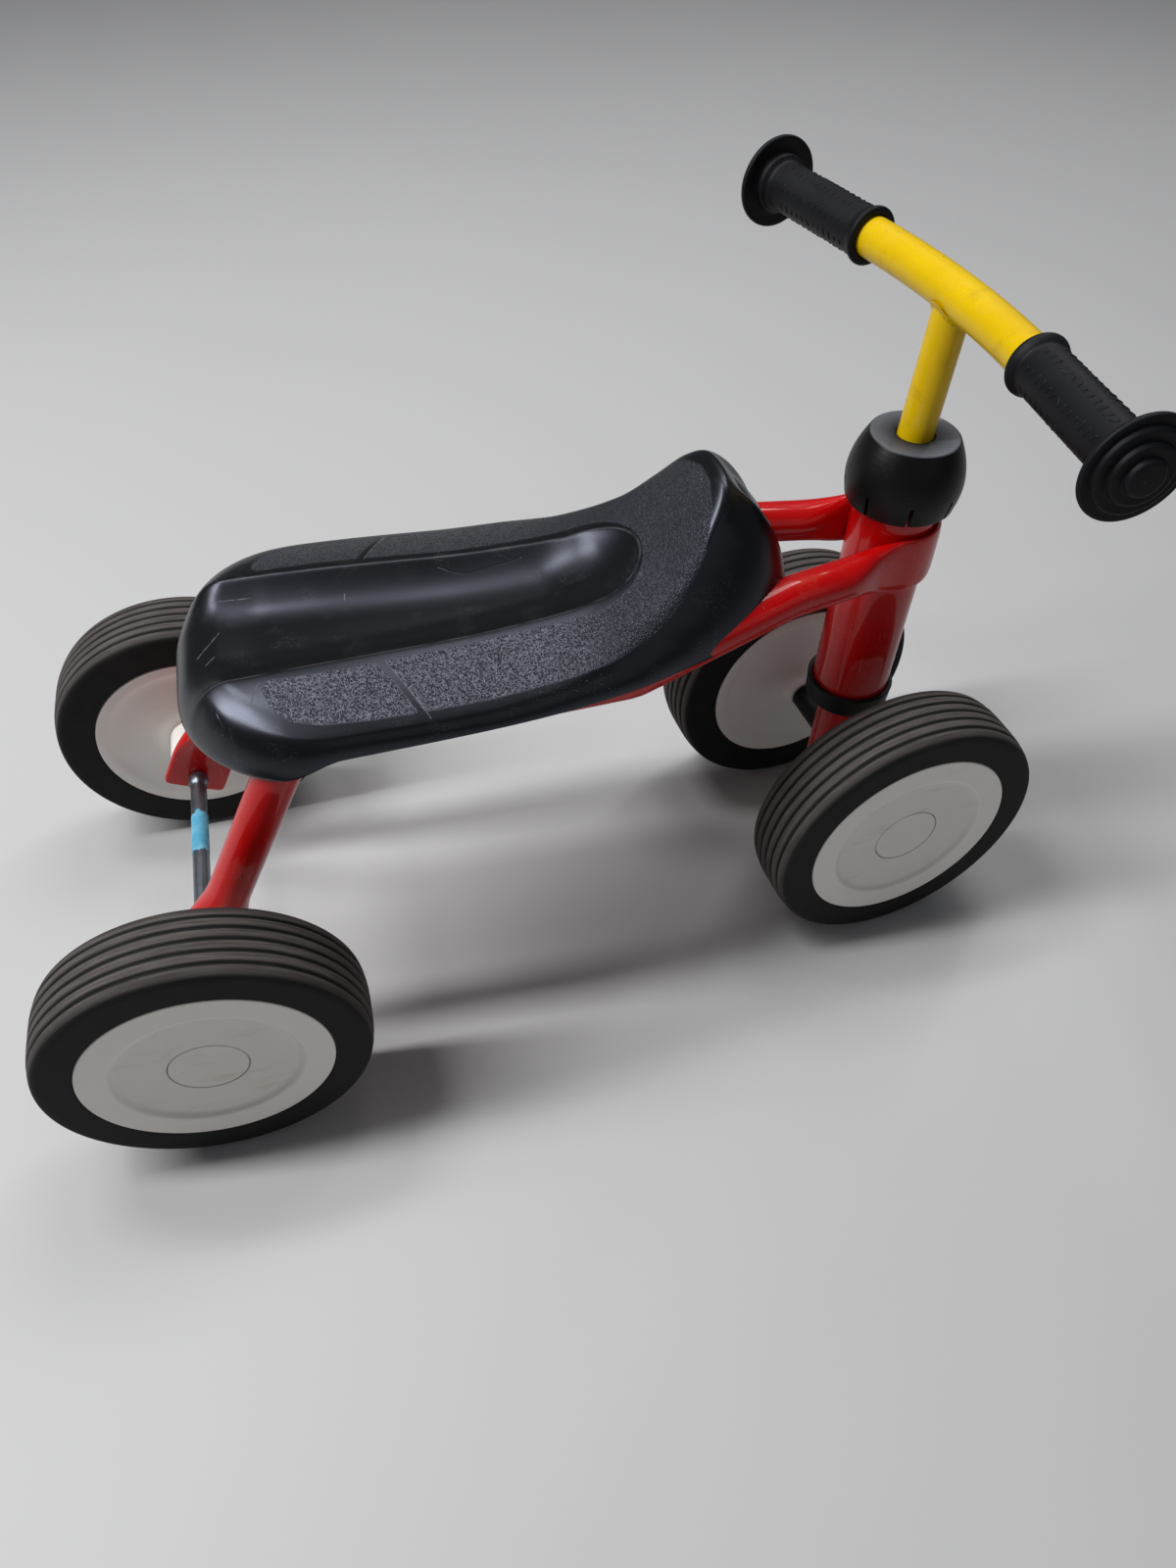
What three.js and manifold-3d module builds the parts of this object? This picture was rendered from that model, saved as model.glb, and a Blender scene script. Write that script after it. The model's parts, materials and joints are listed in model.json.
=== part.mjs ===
// A four-wheeled ride-on for toddlers: one bent steel tube for a frame, a moulded saddle, a steered
// front axle under a T-shaped handlebar, and four plastic wheels with ribbed rubber tyres.
//
// Millimetres. +X points forward, +Y to the rider's left and +Z up. The origin is on the ground under
// the middle of the overall length. The front wheels stand turned a little to the left.

import * as THREE from 'three';
import { mergeVertices } from 'three/addons/utils/BufferGeometryUtils.js';
import Module from 'manifold-3d';

const { clamp, degToRad, lerp, smoothstep } = THREE.MathUtils;
const wasm = await Module();
wasm.setup();

// ---------------------------------------------------------------------------
// Driving dimensions
// ---------------------------------------------------------------------------

const fitGap = 0.3; // between two pieces that touch
const runningGap = 0.4; // between two pieces that turn on each other

// Wheels. Depths and widths along the axle are counted from the wheel's outer face.
const wheelRadius = 80;
const tyreWidth = 39.7;
const treadFlat = 5.6; // half width of the tread's flat middle
const treadDrop = 2.1; // how much lower the tread is at its edges
const grooveCount = 5;
const groovePitch = 6.4;
const grooveWidth = 2.4;
const grooveDepth = 1.3;
const rimFaceRadius = 60; // the rim as seen from outside
const rimBackRadius = 57.4; // the rim as seen from inside
const rimLip = 2.8; // thickness of the lip that holds each side of the tyre
const tyreSeatDepth = 5.4; // how deep the tyre sits between the lips
const faceStepRadius = 44; // where the rim's flat border steps down to the dished face
const faceStepDepth = 2.4;
const faceStepWidth = 2.6;
const hubCapRadius = 18.8;
const hubCapThickness = 2.2;
const hubPocketDepth = 5.5;
const backDishDepth = 2.4; // the inner face dips by this much between border and hub
const backHubRadius = 18;
const frontBossRadius = 9.6; // the front rims reach towards the steering column with a boss
const frontBossLength = 10;
const bushWall = 1.8;

// Axles and where the wheels stand
const wheelbase = 381.5;
const rearTrack = 233.3;
const frontTrack = 137.2;
const steerAtRest = 5.3; // degrees to the left
const axleRadius = 4;
const axleNutRadius = 8;
const axleNutThickness = 2.6;
const rearRodRadius = 4.6; // the bare rod between the two legs
const rodShoulderRadius = 5.8;
const rodShoulderLength = 9;
const washerRadius = 9;
const washerThickness = 1.4;
const rearSpacerRadius = 15;
const frontSpacerRadius = 8.7;

// Frame tube. Its corners are on the tube's centre line, on the left side.
const tubeRadius = 10.6;
const tubeBendRadius = 30;
const footPlateSpread = 65; // from the middle plane to the middle of a flattened foot
const footPlateHalfWidth = 17.3;
const footPlateHalfThickness = 2.5;
const footPlateLength = 22; // flat length, measured from the foot's end
const footTaperLength = 40;
const footSquareness = 0.72; // 0 keeps the pressed section oval and 1 makes it a rectangle
const footBelowAxle = 10;
const footCornerCut = 3;
const footEndBow = 0.5; // the foot's end is slightly rounded out
const railHeight = 225; // of the two rails where they meet the nose
const legTop = { forward: 69, spread: 62, height: 213 };
const railMiddle = { forward: 232, spread: 52.5, height: 209 };
const railRise = { behindHead: 67, spread: 32.5, height: railHeight - 0.5 };
const railEnd = { behindHead: 19, spread: 23.4, height: railHeight };

// The nose, where the tube is pressed flat and wrapped round the head tube
const noseHalfThickness = 1.7;
const noseHalfHeight = 15.5;
const noseTaperLength = 40;
const noseSquareness = 0.4;
const noseHoleRadius = 1.8;

// Head tube and its bearings
const headTubeRadius = 21.65;
const headTubeWall = 2.6;
const headLean = 1.6; // degrees by which the steering axis leans forward, through the front axle
const headTubeBottom = 120.5; // heights of pieces on the steering axis run along it, from the ground
const headTubeOverRails = 33;
const bearingCupRadius = 24.6;
const bearingCupHeight = 13.2;
const bearingCupFloor = 3;
const bearingLength = 20;
const bearingFlange = 2;

// Steering column, stem and handlebar
const columnRadius = 13.8;
const columnNeckRadius = 11.7;
const columnBelowAxle = 17;
const columnNeckTop = 196;
const stemRadius = 8.8;
const stemInColumn = 40;
const clampBoltRadius = 3;
const clampBoltLength = 22;
const barRadius = 9.5;
const barOverCap = 67;
const barForward = 1.8; // of the bar's middle, ahead of the steering axis
const barArcRadius = 424;
const barArcHalfSpan = 65; // the arc ends where the grips begin

// Head cap, the ball-shaped cover that sits on the head tube
const capOverTube = 28; // heights of the cap's top and its widest place, above the head tube's end
const capWidestOverTube = 5;
const capBelowTube = 8;
const capTopRadius = 21.3;
const capRadius = 29.2;
const capBottomRadius = 25.6;
const capRecessWidth = 3.4; // of the sunk ring between the stem and the cap's flat top
const capRecessDepth = 5;
const capSlotCount = 8;
const capSlotWidth = 1.8;
const capSlotHeight = 12;

// Grips. Lengths run along the grip from its inner end.
const gripRadius = 11.5;
const gripBeadRadius = 13.7;
const gripBeadLength = 4;
const gripLength = 76.6;
const gripRingRadius = 14.2;
const gripRingLength = 4;
const gripDiscRadius = 21.75;
const gripDiscThickness = 3;
const gripStepCount = 4;
const gripStepHeight = 1.7;
const gripStepInset = 4;
const barEndInset = 4; // the tube stops this far short of the grip's disc

// Saddle. Heights are above the ground, and forward distances are from the rear axle.
const saddleWall = 3.2;
const saddleRear = 33; // rear end of the top edge
const saddleBehindHead = 98; // front end of the top edge, behind the steering axis
const saddleRearRadius = 68;
const saddleHalfWidth = 72.8;
const saddleNeckHalfWidth = 49.5;
const saddleNoseHalfWidth = 30;
const saddleOverRails = 26; // height of the seat's ridges above the rails
const humpHeight = 51; // of the front hump's peak above the ridges
const rearRoll = 10; // how far the ridges round off towards the top's rear edge
const rearRollWidth = 18;
const troughDepth = 11;
const troughHalfWidth = 37; // at the rear
const troughLength = 0.845; // as a share of the top edge's length
const troughBank = 17; // width of the trough's sloping sides
const skirtRear = 20;
const skirtBehindHead = 60;
const skirtRearRadius = 75;
const skirtHalfWidth = 77.5;
const skirtNeckHalfWidth = 61;
const skirtOverRails = 1.2; // the skirt's lower edge, above the rails' centre line
const lugDrop = 11; // how much lower the skirt hangs round the rear legs
const ribShares = [0.2, 0.52, 0.9]; // places of the ribs inside the shell, along the top edge
const ribThickness = 2;
const bossRadius = 6;
const bossSpread = 20;
const screwRadius = 2.2;
const screwHeadRadius = 4.5;
const screwHeadThickness = 2.6;
const screwReach = 8; // into the boss above the strap
const strapWidth = 26;
const strapThickness = 3;
const rearStrapPastLeg = 44; // ahead of the legs' tops
const frontStrapBehindHead = 163.5;

// ---------------------------------------------------------------------------
// Values that follow from the dimensions
// ---------------------------------------------------------------------------

const axleHeight = wheelRadius;
const faceOut = tyreWidth / 2;
const steer = degToRad(steerAtRest);
const rearHubInner = rearTrack / 2 - faceOut;
const frontHubInner = frontTrack / 2 - faceOut - frontBossLength;
const bushBore = axleRadius + runningGap;
const bushRadius = bushBore + bushWall;
const hubBore = bushRadius + fitGap;
const headTubeBore = headTubeRadius - headTubeWall;
const headTubeTop = railHeight + headTubeOverRails;
const capTop = headTubeTop + capOverTube;
const capWidest = headTubeTop + capWidestOverTube;
const capBottom = headTubeTop - capBelowTube;
const barHeight = capTop + barOverCap;
const noseRadius = headTubeRadius + fitGap + noseHalfThickness;
const lean = degToRad(headLean);
const noseCentre = wheelbase + (railHeight - axleHeight) * Math.tan(lean);
const barSweep = Math.asin(barArcHalfSpan / barArcRadius);
const saddleFront = noseCentre - saddleBehindHead;
const skirtFront = noseCentre - skirtBehindHead;
const rearStrapForward = legTop.forward + rearStrapPastLeg;
const frontStrapForward = noseCentre - frontStrapBehindHead;
const frontReach = wheelbase + (frontTrack / 2 + faceOut) * Math.sin(steer) + wheelRadius * Math.cos(steer);
const midLength = (frontReach - wheelRadius) / 2;

// Facet counts
const tyreFacets = 20;
const rimFacets = 16;
const headFacets = 20;
const gripFacets = 14;
const pinFacets = 12;
const tubeFacets = 12;
const stemFacets = 16;

// ---------------------------------------------------------------------------
// Colours
// ---------------------------------------------------------------------------

const finish = (color, roughness, metalness = 0) => (
  new THREE.MeshStandardMaterial({ color, roughness, metalness })
);
const redPaint = finish(0xb80d10, 0.28);
const yellowPaint = finish(0xf2c500, 0.35);
const blackPlastic = finish(0x17181a, 0.45);
const mattePlastic = finish(0x202124, 0.7);
const whitePlastic = finish(0xd9d6cc, 0.5);
const gripRubber = finish(0x1d1d1f, 0.85);
const tyreRubber = finish(0x3a3733, 0.9);
const zincSteel = finish(0xa9adb2, 0.35, 0.9);

// ---------------------------------------------------------------------------
// Geometry helpers
// ---------------------------------------------------------------------------

// Keeps positions only, joins equal corners and drops triangles without area.
function weld(geometry) {
  const bare = new THREE.BufferGeometry();
  bare.setAttribute('position', geometry.getAttribute('position').clone());
  if (geometry.index) bare.setIndex(geometry.index.clone());
  const merged = mergeVertices(bare, 1e-4);
  const corners = merged.index.array;
  const kept = [];
  for (let i = 0; i < corners.length; i += 3) {
    const [a, b, c] = [corners[i], corners[i + 1], corners[i + 2]];
    if (a !== b && b !== c && c !== a) kept.push(a, b, c);
  }
  merged.setIndex(kept);
  return facingOut(merged);
}

// Six times the signed volume is negative when the faces point inwards.
function facingOut(geometry) {
  const place = geometry.getAttribute('position');
  const index = geometry.index.array;
  const corner = (i) => new THREE.Vector3().fromBufferAttribute(place, index[i]);
  let volume = 0;
  for (let i = 0; i < index.length; i += 3) {
    volume += corner(i).dot(corner(i + 1).cross(corner(i + 2)));
  }
  if (volume < 0) {
    for (let i = 0; i < index.length; i += 3) {
      [index[i], index[i + 1]] = [index[i + 1], index[i]];
    }
  }
  return geometry;
}

function toSolid(geometry) {
  const closed = weld(geometry);
  const vertProperties = new Float32Array(closed.getAttribute('position').array);
  const triVerts = new Uint32Array(closed.index.array);
  return new wasm.Manifold(new wasm.Mesh({ numProp: 3, vertProperties, triVerts }));
}

function toGeometry(solid) {
  const { vertProperties, triVerts } = solid.getMesh();
  const geometry = new THREE.BufferGeometry();
  geometry.setAttribute('position', new THREE.BufferAttribute(vertProperties, 3));
  geometry.setIndex(new THREE.BufferAttribute(triVerts, 1));
  return geometry;
}

function cut(body, ...tools) {
  return toGeometry(tools.reduce((rest, tool) => rest.subtract(toSolid(tool)), toSolid(body)));
}

function join(...bodies) {
  return toGeometry(bodies.map(toSolid).reduce((sum, body) => sum.add(body)));
}

function overlap(body, other) {
  return toGeometry(toSolid(body).intersect(toSolid(other)));
}

// Turns a profile of [radius, height] pairs about the Y axis. A profile that leaves the axis is closed
// on itself. The facets are turned by half a step, so that a flat one faces down.
function revolve(profile, facets) {
  const points = profile.map(([radius, height]) => new THREE.Vector2(radius, height));
  const first = points[0];
  const last = points[points.length - 1];
  if (first.x > 0 || last.x > 0) points.push(first.clone());
  const half = Math.PI / facets;
  return weld(new THREE.LatheGeometry(points, facets, half, 2 * Math.PI));
}

// A radius for corners whose facets then touch the wanted circle from outside.
const around = (radius, facets) => radius / Math.cos(Math.PI / facets);

const pin = (radius, length, facets = pinFacets) => (
  weld(new THREE.CylinderGeometry(radius, radius, length, facets))
);

function sleeve(outer, inner, length, facets = pinFacets) {
  const bore = around(inner, facets);
  const end = length / 2;
  return revolve([[bore, -end], [outer, -end], [outer, end], [bore, end]], facets);
}

// Skins a row of rings that all have the same number of corners, and closes the ends with a fan each.
// A last ring that has collapsed onto a line needs none.
function loft(rings, closeLast = true) {
  const count = rings[0].length;
  const corners = rings.flat();
  const index = [];
  for (let r = 0; r + 1 < rings.length; r += 1) {
    for (let i = 0; i < count; i += 1) {
      const a = r * count + i;
      const b = r * count + ((i + 1) % count);
      index.push(a, b, b + count, a, b + count, a + count);
    }
  }
  const ends = [[rings[0], 0]];
  if (closeLast) ends.push([rings.at(-1), (rings.length - 1) * count]);
  for (const [ring, start] of ends) {
    const middle = ring.reduce((sum, p) => sum.add(p), new THREE.Vector3()).divideScalar(count);
    corners.push(middle);
    for (let i = 0; i < count; i += 1) {
      const pair = [start + i, start + ((i + 1) % count)];
      if (start === 0) pair.reverse();
      index.push(corners.length - 1, ...pair);
    }
  }
  const geometry = new THREE.BufferGeometry().setFromPoints(corners);
  geometry.setIndex(index);
  return weld(geometry);
}

// A smooth line through [x, value] pairs that never overshoots them.
function through(pairs) {
  const slope = pairs.slice(1).map(([x, v], i) => (v - pairs[i][1]) / (x - pairs[i][0]));
  const tangent = pairs.map((_, i) => {
    const before = slope[i - 1] ?? 0;
    const after = slope[i] ?? 0;
    return before * after > 0 ? (2 * before * after) / (before + after) : 0;
  });
  return (x) => {
    if (x <= pairs[0][0]) return pairs[0][1];
    if (x >= pairs.at(-1)[0]) return pairs.at(-1)[1];
    const i = pairs.findIndex((pair) => pair[0] > x) - 1;
    const width = pairs[i + 1][0] - pairs[i][0];
    const t = (x - pairs[i][0]) / width;
    const start = pairs[i][1] * (1 + 2 * t) * (1 - t) ** 2 + tangent[i] * width * t * (1 - t) ** 2;
    const end = pairs[i + 1][1] * t * t * (3 - 2 * t) + tangent[i + 1] * width * t * t * (t - 1);
    return start + end;
  };
}

function part(name, geometry, material) {
  const mesh = new THREE.Mesh(weld(geometry), material);
  mesh.name = name;
  return mesh;
}

const alongX = (geometry) => geometry.clone().rotateZ(-Math.PI / 2);
const alongZ = (geometry) => geometry.clone().rotateX(Math.PI / 2);

// ---------------------------------------------------------------------------
// Frame tube
// ---------------------------------------------------------------------------

const at = (corner, side) => new THREE.Vector3(
  corner.forward ?? noseCentre - corner.behindHead,
  side * corner.spread,
  corner.height,
);

// A point on the leg's lower, upright stretch, by its distance up from the axle.
function onLeg(side, up) {
  const direction = new THREE.Vector3(legTop.forward, 0, legTop.height - axleHeight).normalize();
  return new THREE.Vector3(0, side * footPlateSpread, axleHeight).addScaledVector(direction, up);
}

// The foot's end lies past the axle.
const footEnd = (side) => onLeg(side, -footBelowAxle);

// Straight stretches between the corners, with a round bend at each of them.
function bentPath(corners, radius) {
  const path = new THREE.CurvePath();
  let start = corners[0];
  for (let i = 1; i + 1 < corners.length; i += 1) {
    const before = corners[i - 1].clone().sub(corners[i]);
    const after = corners[i + 1].clone().sub(corners[i]);
    const turn = Math.PI - before.angleTo(after);
    const reach = Math.min(radius * Math.tan(turn / 2), before.length() * 0.49, after.length() * 0.49);
    const handle = 1 - (4 / 3) * Math.tan(turn / 4) / Math.tan(turn / 2);
    const enter = corners[i].clone().addScaledVector(before.normalize(), reach);
    const leave = corners[i].clone().addScaledVector(after.normalize(), reach);
    const enterHandle = corners[i].clone().addScaledVector(before, reach * handle);
    const leaveHandle = corners[i].clone().addScaledVector(after, reach * handle);
    path.add(new THREE.LineCurve3(start, enter));
    path.add(new THREE.CubicBezierCurve3(enter, enterHandle, leaveHandle, leave));
    start = leave;
  }
  path.add(new THREE.LineCurve3(start, corners.at(-1)));
  return path;
}

// One side of the tube, from its foot to where the nose begins beside the steering axis.
function sidePath(side) {
  const noseStart = new THREE.Vector3(noseCentre, side * noseRadius, railHeight);
  const legBend = onLeg(side, footPlateLength + footTaperLength / 2);
  const railCorners = [legTop, railMiddle, railRise, railEnd].map((corner) => at(corner, side));
  return bentPath([footEnd(side), legBend, ...railCorners, noseStart], tubeBendRadius);
}

// The half circle round the head tube, from the right side to the left.
class NoseArc extends THREE.Curve {
  getPoint(t, target = new THREE.Vector3()) {
    const angle = (t - 0.5) * Math.PI;
    const x = noseCentre + noseRadius * Math.cos(angle);
    return target.set(x, noseRadius * Math.sin(angle), railHeight);
  }
}

// Places along the whole tube, closer together where it bends or changes its section.
function tubeStations() {
  const left = sidePath(1);
  const length = left.getLength();
  const taperEnd = footPlateLength + footTaperLength;
  const bend = footBelowAxle + Math.hypot(legTop.forward, legTop.height - axleHeight);
  const noseStretch = railRise.behindHead * 1.6;
  const knots = [0, footPlateLength, taperEnd, bend - tubeBendRadius * 0.7, bend + tubeBendRadius * 0.6];
  knots.push(length - noseStretch, length);
  const steps = [1, 3, 1, 6, 2, 7];
  const spots = [];
  steps.forEach((count, i) => {
    for (let k = 0; k < count; k += 1) spots.push(knots[i] + ((knots[i + 1] - knots[i]) * k) / count);
  });
  const half = spots.map((s) => ({
    point: left.getPointAt(s / length),
    tangent: left.getTangentAt(s / length),
    fromFoot: s,
    fromNose: length - s,
  }));
  const arc = new NoseArc();
  const turns = 8;
  const nose = [];
  for (let k = 0; k <= turns; k += 1) {
    const t = k / turns;
    nose.push({ point: arc.getPoint(t), tangent: arc.getTangent(t), fromFoot: length, fromNose: 0 });
  }
  const right = half.map(({ point, tangent, ...rest }) => ({
    point: point.clone().setY(-point.y),
    tangent: tangent.clone().setY(-tangent.y),
    ...rest,
  }));
  const back = half.reverse().map(({ tangent, ...rest }) => ({ ...rest, tangent: tangent.clone().negate() }));
  return [...right, ...nose, ...back];
}

const fade = (distance, flat, taper) => 1 - smoothstep(distance, flat, flat + taper);

// The tube's section at a station: round, or pressed flat towards a foot or the nose.
function tubeSection(station, grow = 0) {
  const foot = fade(station.fromFoot, footPlateLength, footTaperLength);
  const nose = fade(station.fromNose, 0, noseTaperLength);
  const pressed = (atFoot, atNose) => (
    tubeRadius + (atFoot - tubeRadius) * foot + (atNose - tubeRadius) * nose
  );
  const thickness = pressed(footPlateHalfThickness, noseHalfThickness);
  const height = pressed(footPlateHalfWidth, noseHalfHeight);
  const bulgePower = 1 - footSquareness * foot - noseSquareness * nose;
  const across = new THREE.Vector3(0, 0, 1).cross(station.tangent).normalize();
  const up = station.tangent.clone().cross(across);
  const ring = [];
  for (let k = 0; k < tubeFacets; k += 1) {
    const angle = (2 * Math.PI * k) / tubeFacets;
    const bulge = (v) => Math.sign(v) * Math.abs(v) ** bulgePower;
    const corner = station.point.clone();
    corner.addScaledVector(across, (thickness + grow) * bulge(Math.cos(angle)));
    corner.addScaledVector(up, (height + grow) * bulge(Math.sin(angle)));
    ring.push(corner);
  }
  return ring;
}

// A foot's end is cut square to the leg, with both corners rounded off.
function footTrim(side) {
  const end = footEnd(side);
  const legLean = Math.atan2(legTop.forward, legTop.height - axleHeight);
  const half = footPlateHalfWidth + fitGap;
  const far = 2 * half;
  const outline = new THREE.Shape();
  outline.moveTo(-far, -far);
  outline.lineTo(far, -far);
  outline.lineTo(far, far);
  outline.lineTo(half, far);
  outline.lineTo(half, footCornerCut);
  outline.quadraticCurveTo(half, footEndBow, half - footCornerCut, footEndBow);
  outline.quadraticCurveTo(0, -footEndBow, footCornerCut - half, footEndBow);
  outline.quadraticCurveTo(-half, footEndBow, -half, footCornerCut);
  outline.lineTo(-half, far);
  outline.lineTo(-far, far);
  const depth = 2 * tubeRadius;
  const block = new THREE.ExtrudeGeometry(outline, { depth, bevelEnabled: false, curveSegments: 4 });
  block.translate(0, 0, -depth / 2).rotateX(Math.PI / 2).rotateY(legLean);
  return block.translate(end.x, end.y, end.z);
}

function frameTube() {
  const tube = loft(tubeStations().map((station) => tubeSection(station)));
  const axleHole = pin(around(axleRadius + fitGap, pinFacets), rearTrack).translate(0, 0, axleHeight);
  const headHole = alongZ(pin(around(headTubeRadius + fitGap, headFacets), 4 * noseHalfHeight, headFacets));
  headHole.rotateY(lean).translate(noseCentre, 0, railHeight);
  const noseHole = alongX(pin(noseHoleRadius, 6, 8)).translate(noseRadius + 2, 0, 0).rotateZ(-0.6);
  noseHole.translate(noseCentre, 0, railHeight + 2);
  return cut(tube, axleHole, headHole, noseHole, footTrim(1), footTrim(-1));
}

// The centre line of the left rail at a distance ahead of the rear axle.
function railAt(forward) {
  const pastLeg = Math.min(legTop.forward, forward);
  const spots = sidePath(1).getSpacedPoints(400).filter((p) => p.x >= pastLeg);
  return spots.reduce((best, p) => (Math.abs(p.x - forward) < Math.abs(best.x - forward) ? p : best));
}

// A flat strip across the two rails, cut to their round sides, that the saddle is screwed to.
function strap(forward) {
  const rail = railAt(forward);
  const bar = new THREE.BoxGeometry(strapWidth, 2 * rail.y, strapThickness).translate(forward, 0, rail.z);
  const rails = loft(tubeStations().map((station) => tubeSection(station, fitGap)));
  return cut(bar, rails, ...screwSpots(forward).map((spot) => screwHole(spot)));
}

function screwSpots(forward) {
  return [bossSpread, -bossSpread].map((y) => new THREE.Vector3(forward, y, railAt(forward).z));
}

// The hole goes through the strap and ends just above the screw's tip.
function screwHole(spot) {
  const top = strapThickness / 2 + screwReach + fitGap;
  const bottom = -2 * strapThickness;
  const hole = alongZ(pin(around(screwRadius + fitGap, 8), top - bottom, 8));
  return hole.translate(spot.x, spot.y, spot.z + (top + bottom) / 2);
}

// Head up, it hangs under the strap and reaches into the boss above.
function screw(spot) {
  const underStrap = -strapThickness / 2 - fitGap;
  const tip = strapThickness / 2 + screwReach;
  const geometry = revolve([
    [0, underStrap - screwHeadThickness],
    [screwHeadRadius * 0.7, underStrap - screwHeadThickness],
    [screwHeadRadius, underStrap - screwHeadThickness * 0.4],
    [screwHeadRadius, underStrap],
    [screwRadius, underStrap],
    [screwRadius, tip],
    [0, tip],
  ], 8);
  return alongZ(geometry).translate(spot.x, spot.y, spot.z);
}

// ---------------------------------------------------------------------------
// Head tube and bearings, all turned about the steering axis
// ---------------------------------------------------------------------------

const headTube = () => alongZ(sleeve(headTubeRadius, headTubeBore, headTubeTop - headTubeBottom, headFacets))
  .translate(0, 0, (headTubeTop + headTubeBottom) / 2);

function bearingCup() {
  const floor = headTubeBottom - fitGap;
  const bottom = floor - bearingCupFloor;
  const bore = around(columnNeckRadius + runningGap, headFacets);
  const socket = around(headTubeRadius + fitGap, headFacets);
  return alongZ(revolve([
    [bore, bottom],
    [bearingCupRadius - 1.5, bottom],
    [bearingCupRadius, bottom + 1.5],
    [bearingCupRadius, bottom + bearingCupHeight],
    [socket, bottom + bearingCupHeight],
    [socket, floor],
    [bore, floor],
  ], headFacets));
}

function lowerBush() {
  const length = bearingLength;
  const bush = sleeve(headTubeBore - fitGap, columnNeckRadius + runningGap, length, 16);
  return alongZ(bush).translate(0, 0, headTubeBottom + length / 2);
}

function upperBush() {
  const bore = around(stemRadius + runningGap, 16);
  const outer = headTubeBore - fitGap;
  const seat = headTubeTop + fitGap;
  return alongZ(revolve([
    [bore, seat - bearingLength],
    [outer, seat - bearingLength],
    [outer, seat],
    [headTubeRadius - 0.6, seat],
    [headTubeRadius - 0.6, seat + bearingFlange],
    [bore, seat + bearingFlange],
  ], 16));
}

// ---------------------------------------------------------------------------
// Steering column, stem, head cap and handlebar, in the steering's own frame
// ---------------------------------------------------------------------------

const cupBottom = headTubeBottom - fitGap - bearingCupFloor;

function steeringColumn() {
  const shoulder = cupBottom - runningGap;
  const socket = around(stemRadius + fitGap, 16);
  const body = alongZ(revolve([
    [0, axleHeight - columnBelowAxle],
    [columnRadius - 1.5, axleHeight - columnBelowAxle],
    [columnRadius, axleHeight - columnBelowAxle + 1.5],
    [columnRadius, shoulder],
    [columnNeckRadius, shoulder],
    [columnNeckRadius, columnNeckTop],
    [socket, columnNeckTop],
    [socket, columnNeckTop - stemInColumn],
    [0, columnNeckTop - stemInColumn],
  ], 18));
  const axleHole = pin(around(axleRadius + fitGap, pinFacets), 4 * columnRadius).translate(0, 0, axleHeight);
  return cut(body, axleHole, clampHole());
}

const clampHeight = columnNeckTop - stemInColumn / 2;

const clampHole = () => alongX(pin(around(clampBoltRadius + fitGap, 8), 60, 8)).translate(0, 0, clampHeight);

const clampBolt = () => alongX(pin(clampBoltRadius, clampBoltLength, 8)).translate(0, 0, clampHeight);

// The bar's centre line: an arc in the middle and straight, swept-back ends for the grips.
function barPath() {
  const onArc = (angle) => new THREE.Vector3(
    barForward + barArcRadius * (Math.cos(angle) - 1),
    barArcRadius * Math.sin(angle),
    barHeight,
  );
  const reach = gripLength - barEndInset;
  const path = new THREE.CurvePath();
  const arc = new THREE.CatmullRomCurve3([-1, -0.6, -0.2, 0.2, 0.6, 1].map((k) => onArc(k * barSweep)));
  const end = (side) => onArc(side * barSweep).add(gripDirection(side).multiplyScalar(reach));
  path.add(new THREE.LineCurve3(end(-1), onArc(-barSweep)));
  path.add(arc);
  path.add(new THREE.LineCurve3(onArc(barSweep), end(1)));
  return path;
}

const gripDirection = (side) => new THREE.Vector3(-Math.sin(barSweep), side * Math.cos(barSweep), 0);

function handlebarTube() {
  const section = new THREE.Shape().absarc(0, 0, barRadius, 0, 2 * Math.PI);
  return new THREE.ExtrudeGeometry(section, { extrudePath: barPath(), steps: 12, curveSegments: 7 });
}

// Runs from the column up to the bar, whose round underside its top end is cut to. Above the head cap
// it leans over to the bar's middle.
function stem() {
  const stations = [[columnNeckTop - stemInColumn + fitGap, 0], [capTop, 0], [barHeight, barForward]];
  const ring = ([height, forward]) => new THREE.Path()
    .absarc(forward, 0, stemRadius, 0, 2 * Math.PI)
    .getPoints(stemFacets)
    .slice(1)
    .map((p) => new THREE.Vector3(p.x, p.y, height));
  const bar = pin(around(barRadius + fitGap, 16), 60, 16).translate(barForward, 0, barHeight);
  return cut(loft(stations.map(ring)), bar, clampHole());
}

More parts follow.
